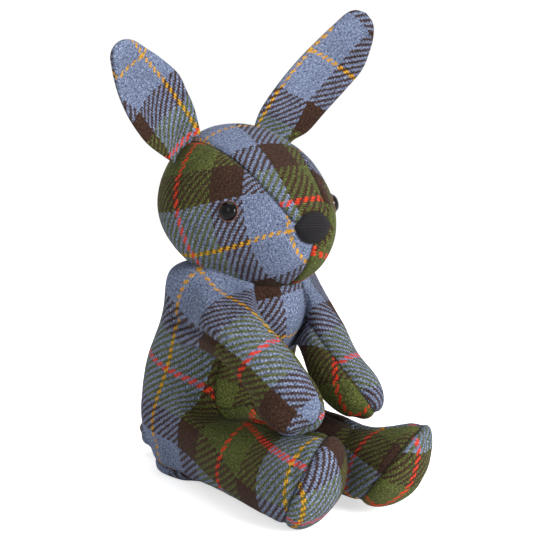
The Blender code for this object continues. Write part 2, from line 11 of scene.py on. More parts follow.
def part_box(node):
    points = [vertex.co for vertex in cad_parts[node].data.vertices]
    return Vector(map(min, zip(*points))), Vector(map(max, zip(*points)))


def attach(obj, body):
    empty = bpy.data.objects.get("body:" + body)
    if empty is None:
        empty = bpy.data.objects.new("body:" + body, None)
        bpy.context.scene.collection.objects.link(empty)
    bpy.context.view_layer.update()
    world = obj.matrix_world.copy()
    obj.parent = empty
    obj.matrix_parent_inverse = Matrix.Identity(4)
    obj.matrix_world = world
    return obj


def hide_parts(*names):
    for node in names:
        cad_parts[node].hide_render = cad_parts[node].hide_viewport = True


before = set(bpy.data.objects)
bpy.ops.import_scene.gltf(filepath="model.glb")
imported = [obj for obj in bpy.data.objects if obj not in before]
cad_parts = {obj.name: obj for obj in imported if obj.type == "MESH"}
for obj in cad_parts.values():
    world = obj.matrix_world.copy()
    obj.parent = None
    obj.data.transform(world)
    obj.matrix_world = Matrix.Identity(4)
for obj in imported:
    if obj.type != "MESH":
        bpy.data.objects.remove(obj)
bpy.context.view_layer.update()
scene = bpy.context.scene

# ---------------------------------------------------------------- forms, as in the CAD
TORSO_ROWS = (
    (0.009, 0.0495, 0.0475, 0.021),
    (0.030, 0.0575, 0.0530, 0.022),
    (0.054, 0.0580, 0.0508, 0.024),
    (0.084, 0.0560, 0.0492, 0.018),
    (0.112, 0.0550, 0.0510, 0.000),
    (0.137, 0.0545, 0.0460, -0.003),
    (0.150, 0.0450, 0.0375, -0.004),
)
TORSO_TOP = 0.155
TORSO_COLUMNS = (0.0, 10.0, 22.0, 34.0, 51.0, 70.0, 105.0, 142.0, 180.0)
BASE_FLAT_HALF_WIDTH = 0.041
BASE_FLAT_HALF_DEPTH = 0.039
BASE_ROUNDING = 0.0006
BASE_SEAM_DROP = 0.0045
ARMPIT_RISES = {2: 0.002, 3: 0.006, 4: 0.012, 5: 0.012}
RIGHT_LEG = (
    (0.056, 0.0340, 0.0280, 0.0255, 0.0252, 0.0, 0.0),
    (0.086, 0.0348, 0.0276, 0.0266, 0.0260, 18.0, 13.0),
    (0.1145, 0.0340, 0.0292, 0.0290, 0.0298, 34.0, 23.0),
)
LEFT_LEG = (
    (0.058, 0.0290, 0.0255, 0.0250, 0.0245, 0.0, 0.0),
    (0.094, 0.0270, 0.0250, 0.0252, 0.0238, 14.0, 18.0),
    (0.1255, 0.0255, 0.0318, 0.0300, 0.0316, 32.0, 36.0),
)
SOLE_BULGE = 0.0210
SOLE_SHOULDER_HEIGHT = 0.0130
SOLE_SHOULDER_RADIUS = 0.0240
SOLE_CAP_SHARE = 0.85
HAND_CAP_SHARE = 0.75
LEG_ANGLES = (-150, -120, -90, -60, -30, 0, 30, 60, 90, 120, 150, 180)
RIGHT_ARM = (
    (0.0550, 0.0425, 0.1092, 0.0195, 0.0200, 41.0),
    (0.0800, 0.0392, 0.0946, 0.0190, 0.0168, 43.0),
    (0.1045, 0.0330, 0.0708, 0.0168, 0.0160, 30.0),
)
RIGHT_HAND_TIP = (0.118, 0.031, 0.0640)
LEFT_ARM = (
    (0.0515, 0.0310, 0.1020, 0.0160, 0.0180, 43.0),
    (0.0680, 0.0282, 0.0835, 0.0170, 0.0178, 45.0),
    (0.093, 0.0285, 0.0665, 0.0168, 0.0158, 34.0),
)
LEFT_HAND_TIP = (0.106, 0.029, 0.0600)
ARM_ROOT_ANGLES = (-170, -132, -95, -58, -20, 15, 48, 80, 112, 148)
ARM_ANGLES = (-196, -156, -118, -80, -42, -6, 28, 60, 92, 126)
HEAD_STATIONS = (
    (0.0815, 0.0140, 0.0095, 0.0110, 0.1795, 72.0),
    (0.0755, 0.0220, 0.0170, 0.0230, 0.1785, 50.0),
    (0.0590, 0.0364, 0.0310, 0.0390, 0.1815, 37.0),
    (0.0340, 0.0525, 0.0476, 0.0490, 0.1852, 33.0),
    (0.0020, 0.0608, 0.0573, 0.0485, 0.1890, 34.0),
    (-0.0300, 0.0470, 0.0490, 0.0305, 0.1925, 39.0),
    (-0.0480, 0.0240, 0.0250, 0.0170, 0.1965, 46.0),
)
NOSE_TIP = (0.0865, 0.1790)
HEAD_BACK = (-0.0545, 0.1945)
HEAD_TILT = 2.5
HEAD_TURN = 2.5
HEAD_PIVOT_HEIGHT = 0.150
HEAD_SHIFT = (0.0028, -0.0004, -0.0012)
EAR_LENGTH = 0.114
EAR_PADDING = 0.0034
EAR_CUP = 0.0050
EAR_BEND = 0.0060
EAR_TUCK = 0.0060
EAR_HALF_WIDTH = 0.0234
EAR_CLOTH_PADDING = 0.0006
EAR_RIPPLE = 0.0007
EAR_ANGLES = {-1: (49.5, 28.0), 1: (26.0, 28.0)}
EAR_FOOT = (0.0330, 0.0060, 0.2300)
TAIL = (-0.0170, 0.0740, 0.0170)
TAIL_RADIUS = 0.0155
TAIL_CLOTH_SHIFT = (-0.003, 0.0, 0.002)
TAIL_CLOTH_SHARE = 0.98
TAIL_CLOTH_CENTRE = 0.030
EYE_RADIUS = 0.0062
EYE_ANGLE_OUT = 47.0
EYE_ANGLE_UP = 3.0
EYE_AIM = (0.0, -0.0100, 0.1880)
EYE_SINK = 0.0006
EYE_STEM_RADIUS = 0.0016
EYE_STEM_LENGTH = 0.0100
EYE_UNDERSIDE = 0.0008
EYE_RIM = 0.0004
EYE_DOME = 0.0036
EYE_DOME_SHARE = 0.97
LIP_OUT = 0.0001
LIP_FOOT = 0.0002
LIP_WIDTH = 0.0006
LIP_HEIGHT = 0.0009
ROUND_STEPS = 48
BAG_CENTRE_BACK = 0.024

RIGHT_SIDE, LEFT_SIDE, FRONT, BASE, RIGHT_SOLE, LEFT_SOLE, GUSSET, NOSE = range(8)
# The front panel's inner arms and inner legs are cut as cloth of their own.
INNER_ARM = {-1: 8, 1: 9}
INNER_LEG = {-1: 10, 1: 11}
PANELS = 12

bag_low, bag_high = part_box("weight_bag")
SHIFT = Vector(
    (
        (bag_low[0] + bag_high[0]) / 2,
        (bag_low[1] + bag_high[1]) / 2 - BAG_CENTRE_BACK,
        0.0,
    )
)


class Cage:
    def __init__(self):
        self.points = []
        self.faces = []
        self.panels = []

    def point(self, x, y, z):
        self.points.append(Vector((x, y, z)))
        return len(self.points) - 1

    def face(self, corners, panel):
        self.faces.append(corners)
        self.panels.append(panel)

    def band(self, ring, following, panels, seam=None):
        count = len(ring)
        for i in range(count):
            k = (i + 1) % count
            if seam and seam[0] == i:
                self.face((ring[i], following[k], following[i]), seam[1])
                self.face((ring[i], ring[k], following[k]), seam[2])
            else:
                self.face((ring[i], ring[k], following[k], following[i]), panels[i])


def block_border(grid, first, last, low, high):
    border = [grid[low][j] for j in range(first, last)]
    border += [grid[k][last] for k in range(low, high)]
    border += [grid[high][j] for j in range(last, first, -1)]
    border += [grid[k][first] for k in range(high, low, -1)]
    return border


def cage_centre(cage, ring):
    return sum((cage.points[i] for i in ring), Vector()) / len(ring)


def cap_block(cage, ring, wide, high, tip, side, panels):
    grid = {}
    for i in range(wide):
        grid[(i, 0)] = ring[i]
    for k in range(high):
        grid[(wide, k)] = ring[wide + k]
    for i in range(wide):
        grid[(wide - i, high)] = ring[wide + high + i]
    for k in range(high):
        grid[(0, high - k)] = ring[2 * wide + high + k]
    for i in range(1, wide):
        for k in range(1, high):
            left, right = cage.points[grid[(0, k)]], cage.points[grid[(wide, k)]]
            low, top = cage.points[grid[(i, 0)]], cage.points[grid[(i, high)]]
            flat = (left.lerp(right, i / wide) + low.lerp(top, k / high)) / 2
            spot = Vector(tip) + (flat - cage_centre(cage, ring)) * side
            grid[(i, k)] = cage.point(*spot)
    for i in range(wide):
        for k in range(high):
            corners = (grid[(i, k)], grid[(i + 1, k)], grid[(i + 1, k + 1)], grid[(i, k + 1)])
            cage.face(corners, panels(i, k))


def limb_ring(cage, centre, across, upward, half_width, half_height, angles, hand):
    ring = []
    for angle in angles:
        a = math.radians(angle)
        spot = centre + across * (half_width * math.cos(a) * hand)
        spot = spot + upward * (half_height * math.sin(a))
        ring.append(cage.point(*spot))
    return ring


def body_cage():
    cage = Cage()
    half = len(TORSO_COLUMNS) - 1
    angles = {j: TORSO_COLUMNS[j] for j in range(half + 1)}
    angles.update({-j: -TORSO_COLUMNS[j] for j in range(1, half)})
    order = list(range(-half + 1, half + 1))
    grid = []
    for k, (height, width, depth, back) in enumerate(TORSO_ROWS):
        row = {}
        for j in order:
            a = math.radians(angles[j])
            lift = ARMPIT_RISES.get(abs(j), 0.0) if k == 3 else 0.0
            if k == 0:
                lift = -BASE_SEAM_DROP * min(1.0, max(0.0, (7 - abs(j)) / 3))
            row[j] = cage.point(width * math.sin(a), back - depth * math.cos(a), height + lift)
        row[-half] = row[half]
        grid.append(row)
    rows = len(TORSO_ROWS) - 1

    def torso_panel(j, k):
        limit = (1, 1, 3, 2, 2, 2)[k]
        if -limit <= j < limit:
            return FRONT
        return LEFT_SIDE if j >= 0 else RIGHT_SIDE

    for k in range(rows):
        for j in range(-half, half):
            outward = j if j >= 0 else -j - 1
            if k < 2 and 1 <= outward < 5:
                continue
            if 3 <= k < 5 and 2 <= outward < 5:
                continue
            corners = (grid[k][j], grid[k][j + 1], grid[k + 1][j + 1], grid[k + 1][j])
            cage.face(corners, torso_panel(j, k))
    crown = cage.point(0.0, TORSO_ROWS[-1][3], TORSO_TOP)
    flat = {}
    for j in order:
        a = math.radians(angles[j])
        flat[j] = cage.point(
            BASE_FLAT_HALF_WIDTH * math.sin(a),
            TORSO_ROWS[0][3] - BASE_FLAT_HALF_DEPTH * math.cos(a),
            0.0,
        )
    flat[-half] = flat[half]
    for j in range(-half, half):
        side = LEFT_SIDE if j >= 0 else RIGHT_SIDE
        cage.face((grid[rows][j], grid[rows][j + 1], crown), side)
        cage.face((flat[j], flat[j + 1], grid[0][j + 1], grid[0][j]), BASE)
    cage.face(tuple(flat[j] for j in reversed(order)), BASE)
    forward = Vector((0.0, -1.0, 0.0))
    upward = Vector((0.0, 0.0, 1.0))
    across = Vector((1.0, 0.0, 0.0))
    for hand, side, sole, leg, arm, hand_tip in (
        (1, LEFT_SIDE, LEFT_SOLE, LEFT_LEG, LEFT_ARM, LEFT_HAND_TIP),
        (-1, RIGHT_SIDE, RIGHT_SOLE, RIGHT_LEG, RIGHT_ARM, RIGHT_HAND_TIP),
    ):
        mirrored = [{hand * j: i for j, i in row.items()} for row in grid]
        inner = INNER_LEG[hand]
        panels = [inner] * 2 + [side] * 6 + [inner] * 4
        ring = block_border(mirrored, 1, 5, 0, 2)
        for ahead, out, height, wide, high, turn, dip in leg:
            face = Matrix.Rotation(math.radians(turn), 3, "Z")
            face = face @ Matrix.Rotation(math.radians(dip), 3, "X")
            centre = across * (out * hand) + upward * height + forward * ahead
            aside, above = face @ across, face @ upward
            following = limb_ring(cage, centre, aside, above, wide, high, LEG_ANGLES, hand)
            cage.band(ring, following, panels)
            ring = following
        outward = face @ forward
        spot = centre + outward * SOLE_SHOULDER_HEIGHT
        following = limb_ring(
            cage, spot, aside, above, SOLE_SHOULDER_RADIUS, SOLE_SHOULDER_RADIUS, LEG_ANGLES, hand
        )
        cage.band(ring, following, [sole] * len(LEG_ANGLES))
        tip = centre + outward * SOLE_BULGE
        cap_block(cage, following, 4, 2, tip, SOLE_CAP_SHARE, lambda i, k: sole)
        ring = block_border(mirrored, 2, 5, 3, 5)
        inner = INNER_ARM[hand]
        for n, (ahead, out, height, wide, high, pitch) in enumerate(arm):
            p = math.radians(pitch)
            lean = Vector((0.0, -math.sin(p), math.cos(p)))
            centre = across * (out * hand) + upward * height + forward * ahead
            angles = ARM_ROOT_ANGLES if n == 0 else ARM_ANGLES
            following = limb_ring(cage, centre, across, lean, wide, high, angles, hand)
            seam = n + 1
            panels = [inner] * seam + [side] * (len(angles) - 1 - seam) + [inner]
            cage.band(ring, following, panels, (seam, inner, side))
            ring = following
        ahead, out, height = hand_tip
        tip = across * (out * hand) + upward * height + forward * ahead
        cap_block(
            cage, ring, 3, 2, tip, HAND_CAP_SHARE, lambda i, k: inner if k == 0 else side
        )
    return cage


def head_pose():
    lift = Matrix.Translation((0.0, 0.0, HEAD_PIVOT_HEIGHT))
    drop = Matrix.Translation((0.0, 0.0, -HEAD_PIVOT_HEIGHT))
    tilt = Matrix.Rotation(math.radians(-HEAD_TILT), 4, "Y")
    turn = Matrix.Rotation(math.radians(-HEAD_TURN), 4, "Z")
    return Matrix.Translation(HEAD_SHIFT) @ lift @ turn @ tilt @ drop


def head_cage():
    cage = Cage()
    pose = head_pose()

    def placed(x, y, z):
        return cage.point(*(pose @ Vector((x, y, z))))

    rings = []
    for ahead, width, up, down, height, seam in HEAD_STATIONS:
        step = (180.0 - seam) / 4
        half = [0.0, seam] + [seam + step * n for n in range(1, 4)]
        around = half + [180.0] + [-a for a in reversed(half[1:])]
        ring = []
        for angle in around:
            a = math.radians(angle)
            rise = up if math.cos(a) > 0 else down
            ring.append(placed(width * math.sin(a), -ahead, height + rise * math.cos(a)))
        rings.append(ring)
    tip = placed(0.0, -NOSE_TIP[0], NOSE_TIP[1])
    rear = placed(0.0, -HEAD_BACK[0], HEAD_BACK[1])
    count = len(rings[0])
    panels = []
    for i in range(count):
        if i in (0, count - 1):
            panels.append(GUSSET)
        elif i < count // 2:
            panels.append(LEFT_SIDE)
        else:
            panels.append(RIGHT_SIDE)
    for ring, following in zip(rings, rings[1:]):
        cage.band(ring, following, panels)
    for i in range(count):
        k = (i + 1) % count
        cage.face((tip, rings[0][k], rings[0][i]), NOSE)
        cage.face((rear, rings[-1][i], rings[-1][k]), panels[i])
    return cage


def new_object(name, data):
    obj = bpy.data.objects.new(name, data)
    scene.collection.objects.link(obj)
    return obj


def subdivided(mesh, levels):
    """Copy of a mesh after some levels of subdivision."""
    obj = new_object("work", mesh)
    modifier = obj.modifiers.new("Subdivision", "SUBSURF")
    modifier.levels = levels
    modifier.render_levels = levels
    modifier.use_limit_surface = False
    modifier.uv_smooth = "PRESERVE_BOUNDARIES"
    bpy.context.view_layer.update()
    result = bpy.data.meshes.new_from_object(
        obj.evaluated_get(bpy.context.evaluated_depsgraph_get())
    )
    bpy.data.objects.remove(obj, do_unlink=True)
    return result


def coordinates(mesh):
    flat = np.empty(len(mesh.vertices) * 3)
    mesh.vertices.foreach_get("co", flat)
    return flat.reshape(-1, 3)


def vertex_normals(mesh):
    mesh.update()
    flat = np.empty(len(mesh.vertices) * 3)
    mesh.vertices.foreach_get("normal", flat)
    return flat.reshape(-1, 3)


def set_coordinates(mesh, points):
    mesh.vertices.foreach_set("co", np.asarray(points, dtype=float).ravel())
    mesh.update()


FIT_LEVELS, FIT_ROUNDS, FIT_STEP = 3, 5, 0.85


def fitted(cage):
    """Coarse mesh whose subdivided surface passes through the cage's own points."""
    mesh = bpy.data.meshes.new("form")
    mesh.from_pydata([tuple(p + SHIFT) for p in cage.points], [], cage.faces)
    for number in range(PANELS):
        mesh.materials.append(bpy.data.materials.new("panel_%d" % number))
    mesh.polygons.foreach_set("material_index", cage.panels)
    work = bmesh.new()
    work.from_mesh(mesh)
    bmesh.ops.recalc_face_normals(work, faces=work.faces)
    work.to_mesh(mesh)
    work.free()
    wanted = coordinates(mesh)
    count = len(wanted)
    for _ in range(FIT_ROUNDS):
        result = subdivided(mesh, FIT_LEVELS)
        moved = coordinates(result)[:count]
        bpy.data.meshes.remove(result)
        set_coordinates(mesh, coordinates(mesh) + (wanted - moved) * FIT_STEP)
    return mesh


# ---------------------------------------------------------------- camera
CAMERA_AT = Vector((-0.39231, -0.52905, 0.2115))
CAMERA_TO = Vector((0.03669, 0.01995, 0.1444))
FOCUS = 1000.0
PICTURE = 540
camera_data = bpy.data.cameras.new("camera")
camera_data.sensor_width = 36.0
camera_data.lens = 36.0 * FOCUS / PICTURE
camera = new_object("camera", camera_data)
camera.location = CAMERA_AT
camera.rotation_euler = (CAMERA_TO - CAMERA_AT).to_track_quat("-Z", "Y").to_euler()
scene.camera = camera
VIEW = (CAMERA_TO - CAMERA_AT).to_track_quat("-Z", "Y").to_matrix()


def sight(x, y):
    """Direction from the camera through a point of the picture."""
    half = PICTURE / 2
    return (VIEW @ Vector(((x - half) / FOCUS, (half - y) / FOCUS, -1.0))).normalized()


# ---------------------------------------------------------------- cloth coordinates
SETT = 0.150
GUIDE_PULL, EAR_GUIDE_PULL = 2.5, 8.0
FLATTEN_ROUNDS = 30
LEAST_WEIGHT, MOST_WEIGHT = 0.05, 6.0
TURN_STEP = 3


def panel_triangles(mesh, number):
    """Vertex indices and triangles of one panel, and the panel's own numbering."""
    mesh.calc_loop_triangles()
    chosen = [t for t in mesh.loop_triangles if t.material_index == number]
    used = sorted({i for t in chosen for i in t.vertices})
    index = {i: n for n, i in enumerate(used)}
    triangles = np.array([[index[i] for i in t.vertices] for t in chosen])
    return used, index, triangles


def flatten(points, triangles, start, guides, pull):
    """Lay a cloth panel flat, keeping its lengths, with the marked lines on their threads."""
    count = len(points)
    a, b, c = points[triangles[:, 0]], points[triangles[:, 1]], points[triangles[:, 2]]
    ab, ac = b - a, c - a
    length = np.linalg.norm(ab, axis=1)
    along = ab / length[:, None]
    x2 = (ac * along).sum(1)
    y2 = np.sqrt(np.maximum(1e-12, (ac * ac).sum(1) - x2 * x2))
    local = np.zeros((len(triangles), 3, 2))
    local[:, 1, 0] = length
    local[:, 2, 0] = x2
    local[:, 2, 1] = y2
    weights = np.zeros((len(triangles), 3))
    laplace = np.zeros((count, count))
    for k in range(3):
        i, j, o = k, (k + 1) % 3, (k + 2) % 3
        p, q = local[:, i] - local[:, o], local[:, j] - local[:, o]
        cross = np.abs(p[:, 0] * q[:, 1] - p[:, 1] * q[:, 0])
        w = np.clip((p * q).sum(1) / np.maximum(cross, 1e-12), LEAST_WEIGHT, MOST_WEIGHT)
        weights[:, k] = w
        ti, tj = triangles[:, i], triangles[:, j]
        np.add.at(laplace, (ti, ti), w)
        np.add.at(laplace, (tj, tj), w)
        np.add.at(laplace, (ti, tj), -w)
        np.add.at(laplace, (tj, ti), -w)
    solvers = []
    rows = []
    for axis in (0, 1):
        mine = [g for g in guides if g[0] == axis]
        matrix = np.zeros((len(mine), count))
        values = np.zeros(len(mine))
        for n, (_, value, corners, shares) in enumerate(mine):
            matrix[n, corners] = shares
            values[n] = value
        rows.append((matrix, values))
        system = laplace + pull * matrix.T @ matrix
        system[0, 0] += 1e-6
        solvers.append(np.linalg.inv(system))
    flat = start.copy()
    for _ in range(FLATTEN_ROUNDS):
        jacobian = np.zeros((len(triangles), 2, 2))
        for k in range(3):
            i, j = k, (k + 1) % 3
            step = local[:, i] - local[:, j]
            moved = flat[triangles[:, i]] - flat[triangles[:, j]]
            jacobian += weights[:, k, None, None] * moved[:, :, None] * step[:, None, :]
        cosine = jacobian[:, 0, 0] + jacobian[:, 1, 1]
        sine = jacobian[:, 1, 0] - jacobian[:, 0, 1]
        size = np.maximum(1e-12, np.hypot(cosine, sine))
        cosine, sine = cosine / size, sine / size
        right = np.zeros((count, 2))
        for k in range(3):
            i, j = k, (k + 1) % 3
            step = local[:, i] - local[:, j]
            turned = np.stack(
                (
                    cosine * step[:, 0] - sine * step[:, 1],
                    sine * step[:, 0] + cosine * step[:, 1],
                ),
                1,
            )
            turned *= weights[:, k, None]
            np.add.at(right, triangles[:, i], turned)
            np.add.at(right, triangles[:, j], -turned)
        for axis in (0, 1):
            matrix, values = rows[axis]
            flat[:, axis] = solvers[axis] @ (right[:, axis] + pull * matrix.T @ values)
        if not len(rows[0][1]):
            flat[:, 0] -= flat[:, 0].mean() - start[:, 0].mean()
        if not len(rows[1][1]):
            flat[:, 1] -= flat[:, 1].mean() - start[:, 1].mean()
    return flat


def cloth_layout(mesh, number, project, lines, pull=GUIDE_PULL):
    """Cloth coordinates of one panel; project gives a first flat place of each point.

    Each line is (axis, sett units, picture points): 0 and 1 mark yellow, 0.5 red.
    """
    used, index, triangles = panel_triangles(mesh, number)
    points = coordinates(mesh)[used]
    start = np.array([project(Vector(p) - SHIFT) for p in points])
    tree = BVHTree.FromPolygons([Vector(p) for p in points], triangles.tolist())
    guides = []
    for axis, value, spots in lines:
        for x, y in spots:
            spot, _, face, _ = tree.ray_cast(CAMERA_AT, sight(x, y))
            if spot is None:
                continue
            corners = triangles[face]
            a, b, c = (Vector(points[i]) for i in corners)
            full = (b - a).cross(c - a)
            area = full.length_squared
            s = (b - spot).cross(c - spot).dot(full) / area
            t = (c - spot).cross(a - spot).dot(full) / area
            guides.append((axis, value * SETT, corners, (s, t, 1.0 - s - t)))
    flat = flatten(points, triangles, start, [], 0.0)
    if guides:
        best = None
        for degrees in range(0, 360, TURN_STEP):
            r = math.radians(degrees)
            spin = np.array(((math.cos(r), -math.sin(r)), (math.sin(r), math.cos(r))))
            trial = flat @ spin.T
            error = 0.0
            shift = [0.0, 0.0]
            for axis in (0, 1):
                gaps = [
                    value - float(np.dot(shares, trial[corners, axis]))
                    for a, value, corners, shares in guides
                    if a == axis
                ]
                if gaps:
                    shift[axis] = sum(gaps) / len(gaps)
                    error += sum((g - shift[axis]) ** 2 for g in gaps)
            if best is None or error < best[0]:
                best = (error, trial + np.array(shift))
        flat = flatten(points, triangles, best[1], guides, pull)
    return {i: flat[n] for i, n in index.items()}


def set_cloth(mesh, layouts):
    """Write each panel's cloth coordinates to the mesh."""
    layer = mesh.uv_layers.new(name="cloth")
    values = np.zeros((len(mesh.loops), 2))
    for polygon in mesh.polygons:
        places = layouts[polygon.material_index]
        for k in polygon.loop_indices:
            values[k] = places[mesh.loops[k].vertex_index]
    layer.data.foreach_set("uv", values.ravel())


# ---------------------------------------------------------------- materials
THREADS = 112
THREAD = SETT / THREADS
# Sett from a yellow line's centre: threads, colour, light fleck, dark fleck (sRGB)
YELLOW = ((206, 150, 36), (226, 178, 84), (142, 96, 30))
BLUE = ((106, 118, 147), (168, 178, 197), (58, 64, 90))
BROWN = ((54, 36, 28), (90, 64, 48), (30, 19, 15))
GREEN = ((74, 80, 38), (122, 128, 70), (42, 46, 22))
RED = ((214, 56, 26), (230, 94, 62), (142, 36, 26))
STRIPES = (
    (1, YELLOW),
    (20, BLUE),
    (16, BROWN),
    (18, GREEN),
    (3, RED),
    (17, GREEN),
    (16, BROWN),
    (20, BLUE),
    (1, YELLOW),
)
OTHER_THREAD_SHARE = 0.09
WANDER, WANDER_SCALE = 1.15, 520.0
# The last share is the strength of the painted shade along the seams.
FLECK_SHARE, PATCH_SHARE, SEAM_PAINTED_SHADE_SHARE = 0.9, 0.16, 0.72
RIB = 0.0013


def linear(colour):
    """Linear RGBA of an sRGB colour."""
    out = []
    for value in colour:
        v = value / 255.0
        out.append(v / 12.92 if v <= 0.04045 else ((v + 0.055) / 1.055) ** 2.4)
    return (*out, 1.0)


class Nodes:
    """Short calls for wiring the nodes of a material or a world."""

    def __init__(self, owner, shader="Principled BSDF"):
        owner.use_nodes = True
        self.owner = owner
        self.tree = owner.node_tree
        self.shader = self.tree.nodes[shader]

    def plug(self, socket, value):
        if isinstance(value, bpy.types.NodeSocket):
            self.tree.links.new(value, socket)
        else:
            socket.default_value = value

    def math(self, operation, *values, clamp=False):
        node = self.tree.nodes.new("ShaderNodeMath")
        node.operation = operation
        node.use_clamp = clamp
        for socket, value in zip(node.inputs, values):
            self.plug(socket, value)
        return node.outputs[0]

    def add(self, kind, **settings):
        node = self.tree.nodes.new(kind)
        for key, value in settings.items():
            setattr(node, key, value)
        return node

    def mix(self, share, first, second, blend="MIX"):
        node = self.add("ShaderNodeMix", data_type="RGBA", blend_type=blend)
        self.plug(node.inputs[0], share)
        self.plug(node.inputs[6], first)
        self.plug(node.inputs[7], second)
        return node.outputs[2]

    def noise(self, vector, scale, detail=2.0, rough=0.5, output="Fac"):
        node = self.add("ShaderNodeTexNoise", noise_dimensions="3D")
        self.plug(node.inputs["Vector"], vector)
        node.inputs["Scale"].default_value = scale
        node.inputs["Detail"].default_value = detail
        node.inputs["Roughness"].default_value = rough
        return node.outputs[output]

    def range(self, value, low, high, to_low=0.0, to_high=1.0):
        node = self.add("ShaderNodeMapRange")
        self.plug(node.inputs[0], value)
        for socket, number in zip(node.inputs[1:5], (low, high, to_low, to_high)):
            socket.default_value = number
        return node.outputs[0]

    def vector(self, x, y, z=0.0):
        node = self.add("ShaderNodeCombineXYZ")
        for socket, value in zip(node.inputs, (x, y, z)):
            self.plug(socket, value)
        return node.outputs[0]

    def split(self, vector):
        node = self.add("ShaderNodeSeparateXYZ")
        self.plug(node.inputs[0], vector)
        return node.outputs

    def cloth(self):
        """Cloth coordinates, along and across."""
        return self.split(self.add("ShaderNodeUVMap", uv_map="cloth").outputs[0])[:2]

    def bump(self, height, strength, distance):
        node = self.add("ShaderNodeBump")
        node.inputs["Strength"].default_value = strength
        node.inputs["Distance"].default_value = distance
        self.plug(node.inputs["Height"], height)
        return node.outputs[0]

    def ramp(self, value, which):
        """Colour by place in the sett; which is 0 plain, 1 light fleck or 2 dark fleck."""
        node = self.add("ShaderNodeValToRGB")
        node.color_ramp.interpolation = "CONSTANT"
        elements = node.color_ramp.elements
        start = 0
        for n, (count, colours) in enumerate(STRIPES):
            if n < 2:
                element = elements[n]
                element.position = start / THREADS
            else:
                element = elements.new(start / THREADS)
            element.color = linear(colours[which])
            start += count
        self.plug(node.inputs[0], value)
        return node.outputs[0]

    def finish(self, **inputs):
        """Set or wire inputs of the shader; an underscore stands for a space."""
        for name, value in inputs.items():
            self.plug(self.shader.inputs[name.replace("_", " ")], value)
        return self.owner


def new_nodes(name):
    return Nodes(bpy.data.materials.new(name))


def tartan(name, seed):
    """Woven wool tartan in cloth coordinates, in 2/2 twill."""
    n = new_nodes(name)
    u, v = n.cloth()
    place = n.vector(u, v, seed)
    drift = n.split(n.noise(place, WANDER_SCALE, 1.0, output="Color"))
    pu, pv = (
        n.math(
            "ADD",
            n.math("DIVIDE", spot, THREAD),
            n.math("MULTIPLY", n.math("SUBTRACT", off, 0.5), WANDER),
        )
        for spot, off in zip((u, v), drift)
    )
    iu, iv = n.math("FLOOR", pu), n.math("FLOOR", pv)
    step = n.math("FLOORED_MODULO", n.math("SUBTRACT", iu, iv), 4.0)
    warp = n.math("LESS_THAN", step, 1.5)
    weft = n.math("SUBTRACT", 1.0, warp)

    def woven(first, second):
        """One value where the warp is on top and the other where the weft is."""
        return n.math("ADD", n.math("MULTIPLY", warp, first), n.math("MULTIPLY", weft, second))

    def thread(first, second):
        number = n.math("ADD", woven(first, second), 0.5)
        number = n.math("FLOORED_MODULO", number, float(THREADS))
        return n.math("DIVIDE", number, float(THREADS))

    chosen = thread(iu, iv)
    colour = n.mix(OTHER_THREAD_SHARE, n.ramp(chosen, 0), n.ramp(thread(iv, iu), 0))
    fleck = n.noise(place, 760.0, 2.0, 0.75)
    speck = n.noise(n.vector(v, u, seed + 3.0), 640.0, 2.0, 0.75)
    colour = n.mix(n.range(fleck, 0.50, 0.66, 0.0, FLECK_SHARE), colour, n.ramp(chosen, 1))
    colour = n.mix(n.range(speck, 0.50, 0.64, 0.0, FLECK_SHARE), colour, n.ramp(chosen, 2))
    patch = n.noise(place, 60.0, 3.0, 0.6)
    colour = n.mix(n.range(patch, 0.35, 0.65, 0.0, PATCH_SHARE), colour, (0.0, 0.0, 0.0, 1.0))
    # Painted shade: the colour darkens to near black along the seams, standing in for the shade
    # that falls in their grooves.
    seam = n.add("ShaderNodeAttribute", attribute_name="seam").outputs["Fac"]
    colour = n.mix(n.math("MULTIPLY", seam, SEAM_PAINTED_SHADE_SHARE), colour, (0.004, 0.003, 0.003, 1.0))
    # Painted light and shade on each thread: the colour is scaled lighter on a float's crown and
    # darker at its sides, in step with the bump.
    rounds = [
        n.math("SINE", n.math("MULTIPLY", n.math("FRACT", spot), math.pi)) for spot in (pu, pv)
    ]
    height = woven(*rounds)
    painted_thread_shade = n.add("ShaderNodeVectorMath", operation="SCALE")
    n.plug(painted_thread_shade.inputs[0], colour)
    n.plug(painted_thread_shade.inputs["Scale"], n.range(height, 0.0, 0.8, 0.72, 1.06))
    fibres = n.noise(place, 2600.0, 3.0, 0.7)
    relief = n.math("ADD", n.math("MULTIPLY", height, 0.6), n.math("MULTIPLY", fibres, 0.9))
    return n.finish(
        Base_Color=painted_thread_shade.outputs[0],
        Normal=n.bump(relief, 0.55, 0.0006),
        Roughness=0.95,
        Specular_IOR_Level=0.15,
        Sheen_Weight=0.03,
        Sheen_Roughness=0.35,
        Sheen_Tint=(0.85, 0.86, 0.80, 1.0),
    )


def plain(name, colour, rough, fleck_scale=400.0, depth=0.0004):
    """Loose fibre, sacking or moulded plastic with a fine procedural grain."""
    n = new_nodes(name)
    grain = n.noise(n.add("ShaderNodeTexCoord").outputs["Object"], fleck_scale, 4.0, 0.6)
    lower = tuple(c * 0.75 for c in colour)
    return n.finish(
        Base_Color=n.mix(n.range(grain, 0.35, 0.65), (*lower, 1.0), (*colour, 1.0)),
        Normal=n.bump(grain, 0.5, depth),
        Roughness=rough,
    )


